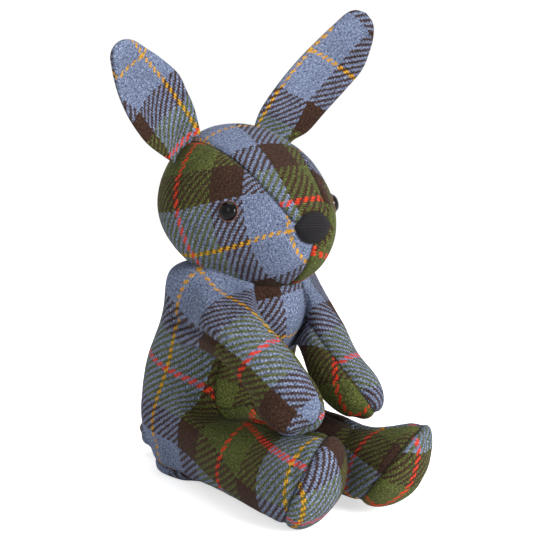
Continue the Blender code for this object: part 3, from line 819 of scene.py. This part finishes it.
def nose_material():
    """Black ribbed cloth."""
    n = new_nodes("nose_twill")
    u, v = n.cloth()
    rib = n.range(n.math("SINE", n.math("MULTIPLY", v, 2 * math.pi / RIB)), -1.0, 1.0)
    weave = n.noise(n.vector(u, v, 5.0), 1600.0, 3.0, 0.7)
    # Painted shade and light on the ribs: the colour is darker in their grooves and lighter on
    # their crowns, in step with the bump.
    colour = n.mix(rib, linear((13, 11, 13)), linear((29, 27, 30)))
    return n.finish(
        Base_Color=n.mix(n.range(weave, 0.5, 0.75, 0.0, 0.4), colour, linear((48, 45, 49))),
        Normal=n.bump(n.math("ADD", rib, n.math("MULTIPLY", weave, 0.5)), 0.6, 0.0004),
        Roughness=0.85,
        Specular_IOR_Level=0.2,
    )


# ---------------------------------------------------------------- body and head surfaces
def seam_field(mesh):
    """Distance of each vertex from the nearest seam between panels."""
    panels = {}
    for polygon in mesh.polygons:
        for key in polygon.edge_keys:
            panels.setdefault(key, set()).add(polygon.material_index)
    points = coordinates(mesh)
    seams = []
    for (a, b), numbers in panels.items():
        if len(numbers) > 1:
            seams.append((points[a] + points[b]) / 2)
            seams.append(points[a])
    tree = KDTree(len(seams))
    for n, spot in enumerate(seams):
        tree.insert(spot, n)
    tree.balance()
    return np.array([tree.find(p)[2] for p in points])


def waves(points, scale, seed):
    shift = Vector((seed, seed * 1.7, seed * 2.3))
    return np.array([noise.noise(Vector(p) * scale + shift) for p in points])


# SEAM_SHADE_WIDTH is the width of the painted shade along the seams.
SEAM_SHADE_WIDTH = 0.0009
DEEPEST_SEAM = 0.0012
DEEPEST_FOLD = 0.0026
HEM = 0.0016


def stitched(mesh, lines, groove, width, puff, puff_width, pucker, undulation, seed):
    """Points of the sewn surface: grooves at the seams, fuller cloth between, and folds."""
    points = coordinates(mesh)
    normals = vertex_normals(mesh)
    distance = seam_field(mesh)
    # The seam attribute holds painted shade: 1 on a seam, falling off over SEAM_SHADE_WIDTH, so the
    # tartan darkens its colour where the grooves lie in shade.
    shade = mesh.attributes.new("seam", "FLOAT", "POINT")
    shade.data.foreach_set("value", np.exp(-((distance / SEAM_SHADE_WIDTH) ** 2)))
    near = np.exp(-((distance / width) ** 1.3))
    lift = -groove * near
    lift += puff * (1.0 - np.exp(-distance / puff_width))
    lift += pucker * np.exp(-distance / (3 * width)) * waves(points, 150.0, seed)
    lift += undulation * waves(points, 38.0, seed + 4.0)
    lift += 0.3 * undulation * waves(points, 110.0, seed + 9.0)
    lift = np.maximum(lift, -DEEPEST_SEAM) + folds(mesh, lines)
    return points + normals * np.maximum(lift, -DEEPEST_FOLD)[:, None]


def folds(mesh, lines):
    """Depth of pressed-in folds that follow picture points, for each vertex."""
    points = coordinates(mesh)
    tree = BVHTree.FromPolygons(
        [Vector(p) for p in points], [tuple(f.vertices) for f in mesh.polygons]
    )
    total = np.zeros(len(points))
    for depth, width, spots in lines:
        hits = [tree.ray_cast(CAMERA_AT, sight(x, y))[0] for x, y in spots]
        hits = [np.array(h) for h in hits if h is not None]
        nearest = np.full(len(points), 1.0)
        for first, second in zip(hits, hits[1:]):
            step = second - first
            share = np.clip((points - first) @ step / (step @ step), 0.0, 1.0)
            gap = np.linalg.norm(points - first - share[:, None] * step, axis=1)
            nearest = np.minimum(nearest, gap)
        total -= depth * np.exp(-((nearest / width) ** 2))
    return total


def panel_object(name, mesh, numbers, material):
    """One cloth panel of a finished surface, with its edges turned in."""
    points = coordinates(mesh)
    normals = vertex_normals(mesh)
    faces = [p for p in mesh.polygons if p.material_index in numbers]
    index = {}
    for face in faces:
        for i in face.vertices:
            index.setdefault(i, len(index))
    order = list(index)
    uses = {}
    for face in faces:
        corners = [index[i] for i in face.vertices]
        for k in range(len(corners)):
            a, b = corners[k], corners[(k + 1) % len(corners)]
            uses.setdefault((min(a, b), max(a, b)), []).append((a, b))
    edge = [sides[0] for sides in uses.values() if len(sides) == 1]
    rim = sorted({i for pair in edge for i in pair})
    below = {i: len(order) + n for n, i in enumerate(rim)}
    spots = [points[i] for i in order]
    spots += [points[order[i]] - normals[order[i]] * HEM for i in rim]
    layer = mesh.uv_layers["cloth"].data
    polygons = []
    values = []
    places = {}
    for face in faces:
        polygons.append([index[i] for i in face.vertices])
        for i, k in zip(face.vertices, face.loop_indices):
            uv = tuple(layer[k].uv)
            values.append(uv)
            places[index[i]] = uv
    for a, b in edge:
        polygons.append((b, a, below[a], below[b]))
        values += [places[b], places[a], places[a], places[b]]
    result = bpy.data.meshes.new(name)
    result.from_pydata([tuple(p) for p in spots], [], polygons)
    cloth = result.uv_layers.new(name="cloth")
    cloth.data.foreach_set("uv", np.array(values).ravel())
    # Carry over the painted seam shade to the panel.
    shade = np.empty(len(mesh.vertices))
    mesh.attributes["seam"].data.foreach_get("value", shade)
    seam = result.attributes.new("seam", "FLOAT", "POINT")
    seam.data.foreach_set("value", shade[order + [order[i] for i in rim]])
    result.materials.append(material)
    result.shade_smooth()
    return new_object(name, result)


def dress(obj, slot, fill, *nodes):
    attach(obj, "root")
    if nodes:
        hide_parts(*nodes)
    return obj


# Picture points of the tartan's lines and band edges, by panel: axis, sett units, points.
# In sett units a yellow line is at 0 or 1 and a red line at 0.5.
BLUE_EDGE = 21 / THREADS
BROWN_EDGE = 37 / THREADS
SIDE_LINES = (
    (0, 0.0, ((197, 274), (186, 279), (181, 287), (178, 297), (175, 303), (174, 312), (174, 322),
              (172, 338), (172, 352), (168, 360), (163, 380), (157, 395), (153, 410), (152, 420),
              (155, 440))),
    (0, BLUE_EDGE, ((206, 350), (205, 370), (200, 390), (193, 405), (180, 430), (176, 445))),
    (0, BROWN_EDGE, ((200, 440), (200, 455), (205, 425))),
    (0, 0.5, ((240, 436), (232, 444), (226, 452), (222, 460), (221, 470), (222, 483))),
    (0, 0.5, ((275, 343), (262, 350), (250, 358), (243, 364), (239, 376))),
    (0, 1 - BROWN_EDGE, ((298, 366), (280, 375), (262, 383))),
    (0, 1 - BLUE_EDGE, ((312, 400), (298, 408), (287, 418), (263, 460), (258, 480), (256, 500))),
    (0, BLUE_EDGE, ((220, 292), (214, 305), (208, 318))),
    (0, BROWN_EDGE, ((260, 316), (244, 322), (228, 343))),
    (0, 1.0, ((303, 442), (296, 449), (289, 458), (285, 467), (284, 475), (285, 495), (286, 508))),
    (1, 0.5, ((152, 347), (154, 355), (160, 365), (165, 370), (177, 378), (190, 385), (205, 391),
              (220, 396), (232, 401), (269, 443), (280, 457), (287, 462), (295, 468))),
    (1, BROWN_EDGE, ((156, 410), (175, 417), (185, 421), (200, 427), (212, 436), (222, 448),
                     (258, 500), (270, 505))),
    (1, 1.0, ((228, 293), (240, 300), (252, 308), (263, 317))),
    (1, 0.90, ((277, 345), (287, 359), (298, 374), (308, 389))),
    (1, 1 - BLUE_EDGE, ((182, 314), (190, 321), (199, 327), (246, 364), (256, 376), (268, 390),
                        (277, 402))),
)
HEAD_LINES = (
    (0, 0.5, ((174, 176), (172, 190), (176, 205), (181, 220), (188, 240), (196, 256), (205, 270))),
    (0, 1 - BROWN_EDGE, ((211, 214), (214, 239))),
    (0, 1 - BLUE_EDGE, ((243, 192), (250, 225), (254, 253), (264, 275))),
    (0, 1.0, ((291, 213), (287, 232), (292, 247), (300, 262))),
    (1, 0.0, ((195, 256), (215, 253), (240, 248), (265, 231), (292, 221))),
    (1, BLUE_EDGE, ((164, 214), (183, 212), (200, 207), (219, 203), (230, 200), (241, 194))),
    (1, BROWN_EDGE, ((171, 174), (199, 171), (226, 156))),
    (1, -BLUE_EDGE, ((271, 279), (293, 273))),
)
GUSSET_LINES = (
    (0, BLUE_EDGE, ((246, 128), (253, 139), (256, 146), (267, 158), (276, 170), (283, 189),
                    (290, 205))),
    (0, BROWN_EDGE, ((311, 165), (320, 193))),
    (0, 0.5, ((330, 196),)),
    (1, 0.5, ((286, 208), (297, 206), (308, 204), (320, 202))),
    (1, 1 - BROWN_EDGE, ((276, 169), (293, 166), (307, 162))),
    (1, 1 - BLUE_EDGE, ((253, 146), (269, 140), (287, 138))),
    (1, 1.0, ((207, 137), (214, 132), (230, 127))),
)
FAR_CHEEK_LINES = (
    (0, 0.5, ((305, 264), (311, 260))),
    (0, 0.36, ((331, 223), (332, 235))),
    (0, 0.28, ((328, 200), (320, 184))),
    (1, 0.36, ((316, 252), (331, 215), (320, 184), (312, 170))),
)
LEFT_SIDE_LINES = (
    (0, 0.5, ((350, 358), (358, 356), (366, 354))),
    (0, BROWN_EDGE, ((369, 388), (383, 383))),
    (1, 0.84, ((336, 318), (350, 336), (379, 374))),
    (1, 0.93, ((338, 345), (352, 362), (372, 392))),
)
CHEST_LINES = (
    (0, 0.0, ((309, 291), (312, 300), (314, 311))),
    (0, -BLUE_EDGE, ((281, 297), (283, 310), (285, 325), (287, 338))),
    (1, 0.0, ((281, 342), (290, 340), (300, 335))),
    (1, BLUE_EDGE, ((264, 299), (275, 298), (284, 293), (295, 288))),
    (0, -0.40, ((224, 365), (226, 390))),
    (1, -0.42, ((226, 388),)),
)
RIGHT_SOLE_LINES = (
    (0, 0.0, ((297, 476), (300, 484), (303, 492), (304, 500), (302, 508), (300, 520))),
    (0, BLUE_EDGE, ((328, 445), (335, 458), (339, 468))),
    (1, 1 - BROWN_EDGE, ((293, 497), (305, 494), (318, 487), (330, 477))),
    (1, 0.5, ((300, 526), (308, 522))),
)
LEFT_SOLE_LINES = (
    (0, 0.5, ((415, 438), (416, 446), (417, 455), (416, 463), (414, 472), (411, 482), (406, 488),
              (401, 494), (393, 499), (387, 503))),
    (1, 1 - BLUE_EDGE, ((398, 443), (412, 450), (428, 453))),
    (1, 1 - BROWN_EDGE, ((363, 481), (380, 479), (395, 484))),
)
LEFT_INNER_ARM_LINES = (
    (0, 0.5, ((322, 324), (327, 338), (331, 345), (332, 355), (332, 365), (334, 375), (335, 385),
              (338, 393), (341, 402), (344, 408))),
    (1, 1 - BROWN_EDGE, ((318, 390), (334, 382), (346, 374))),
    (1, 1 - BLUE_EDGE, ((302, 342), (312, 341), (325, 338))),
    (1, 0.60, ((350, 408),)),
)
LEFT_INNER_LEG_LINES = (
    (0, 0.5, ((378, 425), (371, 433), (364, 441), (360, 449), (356, 456), (353, 462), (350, 470),
              (347, 478), (346, 486), (348, 496))),
    (0, BROWN_EDGE, ((337, 426),)),
    (1, BROWN_EDGE, ((377, 445), (392, 442))),
    (1, BLUE_EDGE, ((340, 440), (358, 452), (371, 463))),
)
RIGHT_INNER_ARM_LINES = (
    (0, 0.5, ((279, 339), (318, 397))),
    (1, 0.40, ((300, 370),)),
)
RIGHT_INNER_LEG_LINES = (
    (0, 0.5, ((283, 434),)),
    (0, 0.58, ((310, 433),)),
    (1, 0.42, ((300, 433),)),
    (0, 0.40, ((250, 436), (240, 412))),
    (1, 0.45, ((250, 436), (240, 412))),
)
BASE_LINES = (
    (0, BLUE_EDGE, ((182, 468),)),
    (1, 0.04, ((165, 467), (200, 481))),
)

body_coarse = subdivided(fitted(body_cage()), 1)
low_points = coordinates(body_coarse)
low_points[:, 2] = np.where(low_points[:, 2] < BASE_ROUNDING, 0.0, low_points[:, 2])
set_coordinates(body_coarse, low_points)
head_coarse = subdivided(fitted(head_cage()), 1)


# A panel's first flat place: seen from the rabbit's right, its left, its front or from above.
def from_right(p):
    return (-p.y, p.z)


def from_left(p):
    return (p.y, p.z)


def from_front(p):
    return (p.x, p.z)


def from_above(p):
    return (p.x, p.y)


def from_below(p):
    return (p.x, -p.y)


def lay(mesh, table):
    """Lay every panel of a mesh on its cloth; table has panel, first place and lines."""
    set_cloth(mesh, {panel: cloth_layout(mesh, panel, *rest) for panel, *rest in table})


lay(
    body_coarse,
    (
        (RIGHT_SIDE, from_right, SIDE_LINES),
        (LEFT_SIDE, from_left, LEFT_SIDE_LINES),
        (FRONT, from_front, CHEST_LINES),
        (BASE, from_below, BASE_LINES),
        (RIGHT_SOLE, from_front, RIGHT_SOLE_LINES),
        (LEFT_SOLE, from_front, LEFT_SOLE_LINES),
        (INNER_ARM[-1], from_left, RIGHT_INNER_ARM_LINES),
        (INNER_ARM[1], from_right, LEFT_INNER_ARM_LINES),
        (INNER_LEG[-1], from_left, RIGHT_INNER_LEG_LINES),
        (INNER_LEG[1], from_right, LEFT_INNER_LEG_LINES),
    ),
)
lay(
    head_coarse,
    (
        (RIGHT_SIDE, from_right, HEAD_LINES),
        (LEFT_SIDE, from_left, FAR_CHEEK_LINES),
        (GUSSET, from_above, GUSSET_LINES),
        (NOSE, from_front, ()),
    ),
)

body = subdivided(body_coarse, 3)
head = subdivided(head_coarse, 4)
# Folds of the cloth: depth, half width and the picture points that each one follows.
BODY_FOLDS = (
    (0.0030, 0.0032, ((172, 319), (182, 324), (192, 328), (202, 333), (212, 339), (222, 346))),
    (-0.0022, 0.0050, ((184, 316), (198, 321), (214, 329), (228, 338))),
    (0.0020, 0.0030, ((164, 296), (170, 306), (173, 318))),
    (0.0016, 0.0030, ((268, 330), (278, 344), (290, 358))),
    (0.0018, 0.0035, ((330, 300), (338, 314), (348, 326))),
    (0.0016, 0.0030, ((300, 455), (294, 470), (290, 486))),
    (0.0015, 0.0040, ((360, 415), (352, 425), (346, 440))),
    (0.0014, 0.0035, ((150, 440), (160, 446), (172, 452))),
    (-0.0045, 0.0090, ((246, 388), (256, 402), (268, 414), (280, 424))),
    (-0.0025, 0.0080, ((370, 426), (384, 424), (398, 428))),
    (0.0026, 0.0060, ((421, 430), (426, 433), (429, 440))),
    (-0.0016, 0.0050, ((213, 376), (215, 388), (216, 398), (218, 408))),
)
HEAD_FOLDS = (
    (0.0014, 0.0030, ((288, 236), (295, 246), (303, 252))),
    (0.0012, 0.0030, ((206, 262), (226, 270), (246, 272))),
    (0.0010, 0.0035, ((180, 170), (190, 162), (202, 154))),
    (-0.0022, 0.0120, ((310, 222), (314, 218))),
)
body_points = stitched(
    body, BODY_FOLDS, groove=0.0018, width=0.0019, puff=0.0006, puff_width=0.008,
    pucker=0.0008, undulation=0.0007, seed=2.0,
)
body_points[:, 2] = np.maximum(body_points[:, 2], 0.0)
set_coordinates(body, body_points)
set_coordinates(head, stitched(
    head, HEAD_FOLDS, groove=0.0017, width=0.0016, puff=0.0005, puff_width=0.008,
    pucker=0.0006, undulation=0.0005, seed=7.0,
))

cloth_side = tartan("tartan_side", seed=1.0)
cloth_front = tartan("tartan_front", seed=2.0)
cloth_base = tartan("tartan_base", seed=3.0)
cloth_head = tartan("tartan_head", seed=4.0)
cloth_ear = tartan("tartan_ear", seed=5.0)
ribbed = nose_material()

for name, mesh, number, cloth, slot, node in (
    ("side_right", body, RIGHT_SIDE, cloth_side, "tartan_side", "body_side_right"),
    ("side_left", body, LEFT_SIDE, cloth_side, "tartan_side", "body_side_left"),
    ("chest", body, FRONT, cloth_front, "tartan_front", "body_front"),
    ("base", body, BASE, cloth_base, "tartan_base", "body_base"),
    ("sole_right", body, RIGHT_SOLE, cloth_side, "tartan_side", "foot_sole_right"),
    ("sole_left", body, LEFT_SOLE, cloth_side, "tartan_side", "foot_sole_left"),
    ("cheek_right", head, RIGHT_SIDE, cloth_head, "tartan_head", "head_side_right"),
    ("cheek_left", head, LEFT_SIDE, cloth_head, "tartan_head", "head_side_left"),
    ("crown", head, GUSSET, cloth_head, "tartan_head", "head_gusset"),
    ("nose_patch", head, NOSE, ribbed, "nose_cloth", "nose"),
):
    numbers = {number}
    if node == "body_front":
        numbers.update(INNER_ARM.values(), INNER_LEG.values())
    dress(panel_object(name, mesh, numbers, cloth), slot, 0.8, node)


# ---------------------------------------------------------------- ears
def ear_frame(hand):
    foot = Matrix.Translation((EAR_FOOT[0] * hand, EAR_FOOT[1], EAR_FOOT[2]))
    splay = Matrix.Rotation(math.radians(EAR_ANGLES[hand][0] * hand), 4, "Y")
    lean = Matrix.Rotation(math.radians(EAR_ANGLES[hand][1]), 4, "X")
    return Matrix.Translation(SHIFT) @ head_pose() @ foot @ splay @ lean


# Edges of each ear in its own plane, from foot to tip: share of the length, place across.
EAR_EDGES = {
    -1: (
        (
            (0.0, -0.0160), (0.10, -0.0180), (0.20, -0.0206), (0.32, -0.0230), (0.45, -0.0234),
            (0.60, -0.0224), (0.78, -0.0193), (0.92, -0.0143), (0.985, -0.0116), (1.012, -0.0082),
        ),
        (
            (0.0, 0.0110), (0.10, 0.0165), (0.20, 0.0208), (0.32, 0.0233), (0.44, 0.0248),
            (0.62, 0.0199), (0.80, 0.0124), (0.92, 0.0068), (0.985, 0.0008), (1.012, -0.0065),
        ),
    ),
    1: (
        (
            (0.0, -0.0190), (0.10, -0.0222), (0.20, -0.0232), (0.36, -0.0216), (0.54, -0.0188),
            (0.70, -0.0155), (0.84, -0.0124), (0.92, -0.0104), (0.97, -0.0066), (0.992, 0.0005),
        ),
        (
            (0.0, 0.0095), (0.10, 0.0124), (0.20, 0.0196), (0.36, 0.0235), (0.54, 0.0272),
            (0.70, 0.0284), (0.84, 0.0226), (0.92, 0.0168), (0.97, 0.0105), (0.992, 0.0020),
        ),
    ),
}


def curve(knots, t):
    """Point of a smooth curve through some knots, t from 0 to 1."""
    last = len(knots) - 1
    n = min(int(t * last), last - 1)
    f = t * last - n
    a, b, c, d = (np.array(knots[min(max(k, 0), last)]) for k in range(n - 1, n + 3))
    square, cube = 2 * a - 5 * b + 4 * c - d, 3 * b - a - 3 * c + d
    return 0.5 * (2 * b + (c - a) * f + square * f ** 2 + cube * f ** 3)


# The tartan's lines on the ears' fronts, as in the tables above; the backs have no guides.
EAR_LINES = {
    (-1, True): (
        (0, 0.0, ((133, 43), (143, 56), (154, 70), (164, 82), (176, 98), (188, 114), (198, 128))),
        (0, -BLUE_EDGE, ((122, 98), (130, 105), (141, 112))),
        (1, 1.0, ((116, 75), (122, 72), (128, 68), (134, 63), (140, 59))),
        (1, 1 - BLUE_EDGE, ((146, 99), (160, 86), (173, 71))),
        (1, 1 - BROWN_EDGE, ((160, 120), (168, 112), (180, 106))),
        (1, 0.5, ((168, 157), (181, 147), (188, 138), (197, 133))),
    ),
    (1, True): (
        (0, 0.0, ((328, 34), (301, 63), (295, 69), (290, 76), (286, 82), (281, 88))),
        (0, BLUE_EDGE, ((360, 40), (344, 58), (336, 70), (322, 86), (307, 99))),
        (1, 1.0, ((310, 51), (316, 53), (322, 55), (328, 59), (334, 63), (345, 71), (352, 76))),
        (1, 1 - BLUE_EDGE, ((287, 93), (295, 97), (307, 100), (318, 107))),
        (1, 1 + BLUE_EDGE, ((353, 14), (360, 20), (366, 27))),
    ),
}
EAR_STEP = 3
EAR_ACROSS, EAR_ALONG = 8 * EAR_STEP + 1, 24 * EAR_STEP + 1
EAR_BACK_START = (0.020, 0.050)


def ear_spot(hand, front, across, along):
    """Point of an ear's cloth; across and along run from 0 to 1."""
    left, right = (curve(edge, along) for edge in EAR_EDGES[hand])
    u = math.sin(math.pi / 2 * (2 * across - 1))
    v, x = left + (right - left) * (1 + u) / 2
    half_width = (right[1] - left[1]) / 2
    end = min(1.0, 5 * (1 - along) + 0.05)
    full = math.sqrt(max(0.0, 1 - u ** 4)) * end
    tuck = math.exp(-((v - 0.05) / 0.10) ** 2)
    cup = (EAR_CUP + EAR_TUCK * tuck) * (u * u - 1) * (half_width / EAR_HALF_WIDTH)
    pad = (EAR_PADDING + EAR_CLOTH_PADDING) * full * (1.0 - 0.3 * tuck)
    bend = EAR_BEND * math.sin(math.pi * min(1.0, v))
    ripple = EAR_RIPPLE * noise.noise(Vector((x * 60, v * 7, 3.0 * hand + front)))
    y = bend - cup + (-pad if front else pad) + ripple * full
    return Vector((x, y, EAR_LENGTH * v))


def grid_mesh(name, spots, columns, facing):
    """Quad mesh over rows of spots."""
    faces = []
    for n in range(len(spots) // columns - 1):
        for k in range(columns - 1):
            a = n * columns + k
            quad = (a, a + 1, a + columns + 1, a + columns)
            faces.append(quad if facing else tuple(reversed(quad)))
    mesh = bpy.data.meshes.new(name)
    mesh.from_pydata([tuple(p) for p in spots], [], faces)
    return mesh


for hand, label in ((1, "left"), (-1, "right")):
    place = ear_frame(hand)
    inverse = place.inverted()
    for front, word in ((True, "front"), (False, "back")):
        spots = [
            ear_spot(hand, front, k / (EAR_ACROSS - 1), n / (EAR_ALONG - 1))
            for n in range(EAR_ALONG)
            for k in range(EAR_ACROSS)
        ]
        name = "ear_cloth_%s_%s" % (label, word)
        mesh = grid_mesh(name, [place @ p for p in spots], EAR_ACROSS, front)
        mesh.materials.append(cloth_ear)
        lines = EAR_LINES.get((hand, front), ())
        if lines:
            wide = EAR_ACROSS // EAR_STEP + 1
            coarse = [
                place @ spots[n * EAR_ACROSS + k]
                for n in range(0, EAR_ALONG, EAR_STEP)
                for k in range(0, EAR_ACROSS, EAR_STEP)
            ]
            rough = grid_mesh(name + "_layout", coarse, wide, front)
            found = cloth_layout(
                rough, 0, lambda p: tuple((inverse @ (p + SHIFT)).xz), lines, EAR_GUIDE_PULL
            )
            table = np.array([found[i] for i in range(len(coarse))]).reshape(-1, wide, 2)
            bpy.data.meshes.remove(rough)
            flat = {}
            for i in range(len(spots)):
                row, column = divmod(i, EAR_ACROSS)
                n, f = divmod(row / EAR_STEP, 1)
                k, g = divmod(column / EAR_STEP, 1)
                n, k = int(n), int(k)
                n2, k2 = min(n + 1, len(table) - 1), min(k + 1, wide - 1)
                low = table[n, k] * (1 - g) + table[n, k2] * g
                high = table[n2, k] * (1 - g) + table[n2, k2] * g
                flat[i] = low * (1 - f) + high * f
        else:
            flat = {
                i: (EAR_BACK_START[0] - p.x, p.z + EAR_BACK_START[1]) for i, p in enumerate(spots)
            }
        set_cloth(mesh, {0: flat})
        mesh.shade_smooth()
        dress(new_object(name, mesh), "tartan_ear", 0.5, "ear_%s_%s" % (label, word))


# ---------------------------------------------------------------- eyes
def turned(profile, segments, centre, axis):
    turn = axis.to_track_quat("Z", "Y").to_matrix().to_4x4()
    place = Matrix.Translation(centre) @ turn
    points = []
    rings = []
    for radius, along in profile:
        ring = []
        for k in range(segments):
            a = 2 * math.pi * k / segments
            ring.append(len(points))
            points.append(place @ Vector((radius * math.cos(a), radius * math.sin(a), along)))
        rings.append(ring)
    faces = []
    for ring, following in zip(rings, rings[1:]):
        for k in range(segments):
            m = (k + 1) % segments
            faces.append((ring[k], ring[m], following[m], following[k]))
    faces.append(tuple(rings[-1]))
    faces.append(tuple(reversed(rings[0])))
    return points, faces


def simple_object(name, points, faces, material):
    mesh = bpy.data.meshes.new(name)
    mesh.from_pydata([tuple(p) for p in points], [], faces)
    mesh.materials.append(material)
    mesh.shade_smooth()
    return new_object(name, mesh)


def eye_material():
    """Glossy, nearly black plastic."""
    n = new_nodes("eye_gloss")
    smudge = n.noise(n.add("ShaderNodeTexCoord").outputs["Object"], 300.0, 3.0, 0.5)
    return n.finish(
        Base_Color=n.mix(smudge, linear((5, 4, 4)), linear((12, 9, 8))),
        Roughness=n.range(smudge, 0.3, 0.7, 0.03, 0.09),
        Specular_IOR_Level=0.14,
    )


def ring_material():
    """Brown plastic of the rim."""
    n = new_nodes("eye_ring")
    grain = n.noise(n.add("ShaderNodeTexCoord").outputs["Object"], 500.0, 3.0, 0.5)
    return n.finish(
        Base_Color=n.mix(grain, linear((58, 28, 20)), linear((104, 54, 36))),
        Roughness=0.25,
    )


head_tree = BVHTree.FromPolygons(
    [Vector(p) for p in coordinates(head)], [tuple(p.vertices) for p in head.polygons]
)
gloss, ringed = eye_material(), ring_material()
pose = head_pose()
for hand, label in ((1, "left"), (-1, "right")):
    out, up = math.radians(EYE_ANGLE_OUT), math.radians(EYE_ANGLE_UP)
    aim = pose @ Vector(EYE_AIM) + SHIFT
    ray = Vector((math.sin(out) * math.cos(up) * hand, -math.cos(out) * math.cos(up), math.sin(up)))
    ray = pose.to_3x3() @ ray
    spot, outward, _, _ = head_tree.ray_cast(aim, ray)
    spot = spot - outward * EYE_SINK
    dome = [
        (EYE_STEM_RADIUS, -EYE_STEM_LENGTH),
        (EYE_STEM_RADIUS, -EYE_UNDERSIDE),
        (EYE_RADIUS, -EYE_UNDERSIDE),
        (EYE_RADIUS, EYE_RIM),
    ]
    for step in range(1, 12):
        a = math.pi / 2 * step / 12
        wide = EYE_RADIUS * EYE_DOME_SHARE * math.cos(a) ** 0.9
        dome.append((wide, EYE_RIM + EYE_DOME * math.sin(a)))
    points, faces = turned(dome, ROUND_STEPS, spot, outward)
    eye = simple_object("eye_dome_" + label, points, faces, gloss)
    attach(eye, "root")
    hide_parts("eye_" + label)
    rim = []
    for step in range(9):
        a = math.pi * step / 8
        wide = EYE_RADIUS + LIP_OUT - LIP_WIDTH * math.cos(a)
        rim.append((wide, LIP_FOOT + LIP_HEIGHT * math.sin(a)))
    points, faces = turned(rim, ROUND_STEPS, spot, outward)
    lip = simple_object("eye_lip_" + label, points, faces[:-2], ringed)
    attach(lip, "root")

# ---------------------------------------------------------------- tail
tail_points = []
tail_faces = []
tail_uv = []
rings, segments = 33, 64
centre = Vector(TAIL) + SHIFT + Vector(TAIL_CLOTH_SHIFT)
for n in range(rings):
    a = math.pi * n / (rings - 1)
    for k in range(segments + 1):
        b = 2 * math.pi * k / segments
        gather = 1 + 0.05 * math.sin(9 * b) * math.sin(a) ** 2
        gather += 0.06 * noise.noise(Vector((math.cos(b), math.sin(b), n * 0.1)) * 2.0)
        r = TAIL_RADIUS * gather * TAIL_CLOTH_SHARE
        aside, above = r * math.sin(a) * math.cos(b), r * math.sin(a) * math.sin(b)
        tail_points.append(centre + Vector((aside, -r * math.cos(a), above)))
        tail_uv.append(
            tuple(TAIL_CLOTH_CENTRE + TAIL_RADIUS * a * way(b) for way in (math.cos, math.sin))
        )
for n in range(rings - 1):
    for k in range(segments):
        a = n * (segments + 1) + k
        tail_faces.append((a, a + segments + 1, a + segments + 2, a + 1))
tail = simple_object("tail_cloth", tail_points, tail_faces, cloth_side)
set_cloth(tail.data, {0: dict(enumerate(tail_uv))})
dress(tail, "tartan_side", 0.9, "tail")

# ---------------------------------------------------------------- pieces held inside
fibre = plain("stuffing_fibre", (0.80, 0.80, 0.77), 1.0, 260.0, 0.001)
sack = plain("sand_sack", (0.45, 0.38, 0.27), 0.9, 700.0)
moulded = plain("washer_moulded", (0.70, 0.70, 0.68), 0.4, 900.0, 0.0001)
for node, finish in (
    ("body_stuffing", fibre),
    ("head_stuffing", fibre),
    ("weight_bag", sack),
    ("eye_washer_left", moulded),
    ("eye_washer_right", moulded),
):
    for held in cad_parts[node].material_slots:
        held.material = finish

# ---------------------------------------------------------------- floor, light, world
floor_mesh = bpy.data.meshes.new("floor")
reach = 6.0
WHITE = (1.0, 1.0, 1.0, 1.0)
FLOOR_GLOW, WORLD_LIGHT, WORLD_SEEN = 0.62, 0.45, 1.0
floor_mesh.from_pydata(
    [(-reach, -reach, 0), (reach, -reach, 0), (reach, reach, 0), (-reach, reach, 0)],
    [],
    [(0, 1, 2, 3)],
)


def seen(nodes):
    """The light path, and 1 for the rays that come from the camera or a gloss."""
    path = nodes.add("ShaderNodeLightPath").outputs
    return path, nodes.math("MAXIMUM", path["Is Camera Ray"], path["Is Glossy Ray"])


paper = new_nodes("floor_paper")
path, sees = seen(paper)
sees = paper.math("MAXIMUM", sees, path["Is Transmission Ray"])
floor_mesh.materials.append(
    paper.finish(
        Base_Color=(0.93, 0.93, 0.93, 1.0),
        Roughness=0.9,
        Specular_IOR_Level=0.0,
        Emission_Color=WHITE,
        Emission_Strength=paper.math("MULTIPLY", sees, FLOOR_GLOW),
    )
)
floor = new_object("floor", floor_mesh)


def softbox(name, location, target, size, power):
    light = bpy.data.lights.new(name, "AREA")
    light.shape = "RECTANGLE"
    light.size, light.size_y = size
    light.energy = power
    obj = new_object(name, light)
    obj.location = location
    direction = Vector(target) - Vector(location)
    obj.rotation_euler = direction.to_track_quat("-Z", "Y").to_euler()


middle = (0.02, 0.0, 0.15)
softbox("key", (0.25, -1.60, 0.60), middle, (0.46, 0.62), 31.0)
softbox("fill", (-1.35, -0.55, 0.75), middle, (0.45, 0.65), 2.5)
softbox("top", (0.1, 0.1, 1.70), middle, (1.2, 1.2), 11.0)

scene.world = bpy.data.worlds.new("studio")
sky = Nodes(scene.world, "Background")
sky.finish(
    Color=WHITE, Strength=sky.range(seen(sky)[1], 0.0, 1.0, WORLD_LIGHT, WORLD_SEEN)
)
scene.view_settings.view_transform = "Standard"
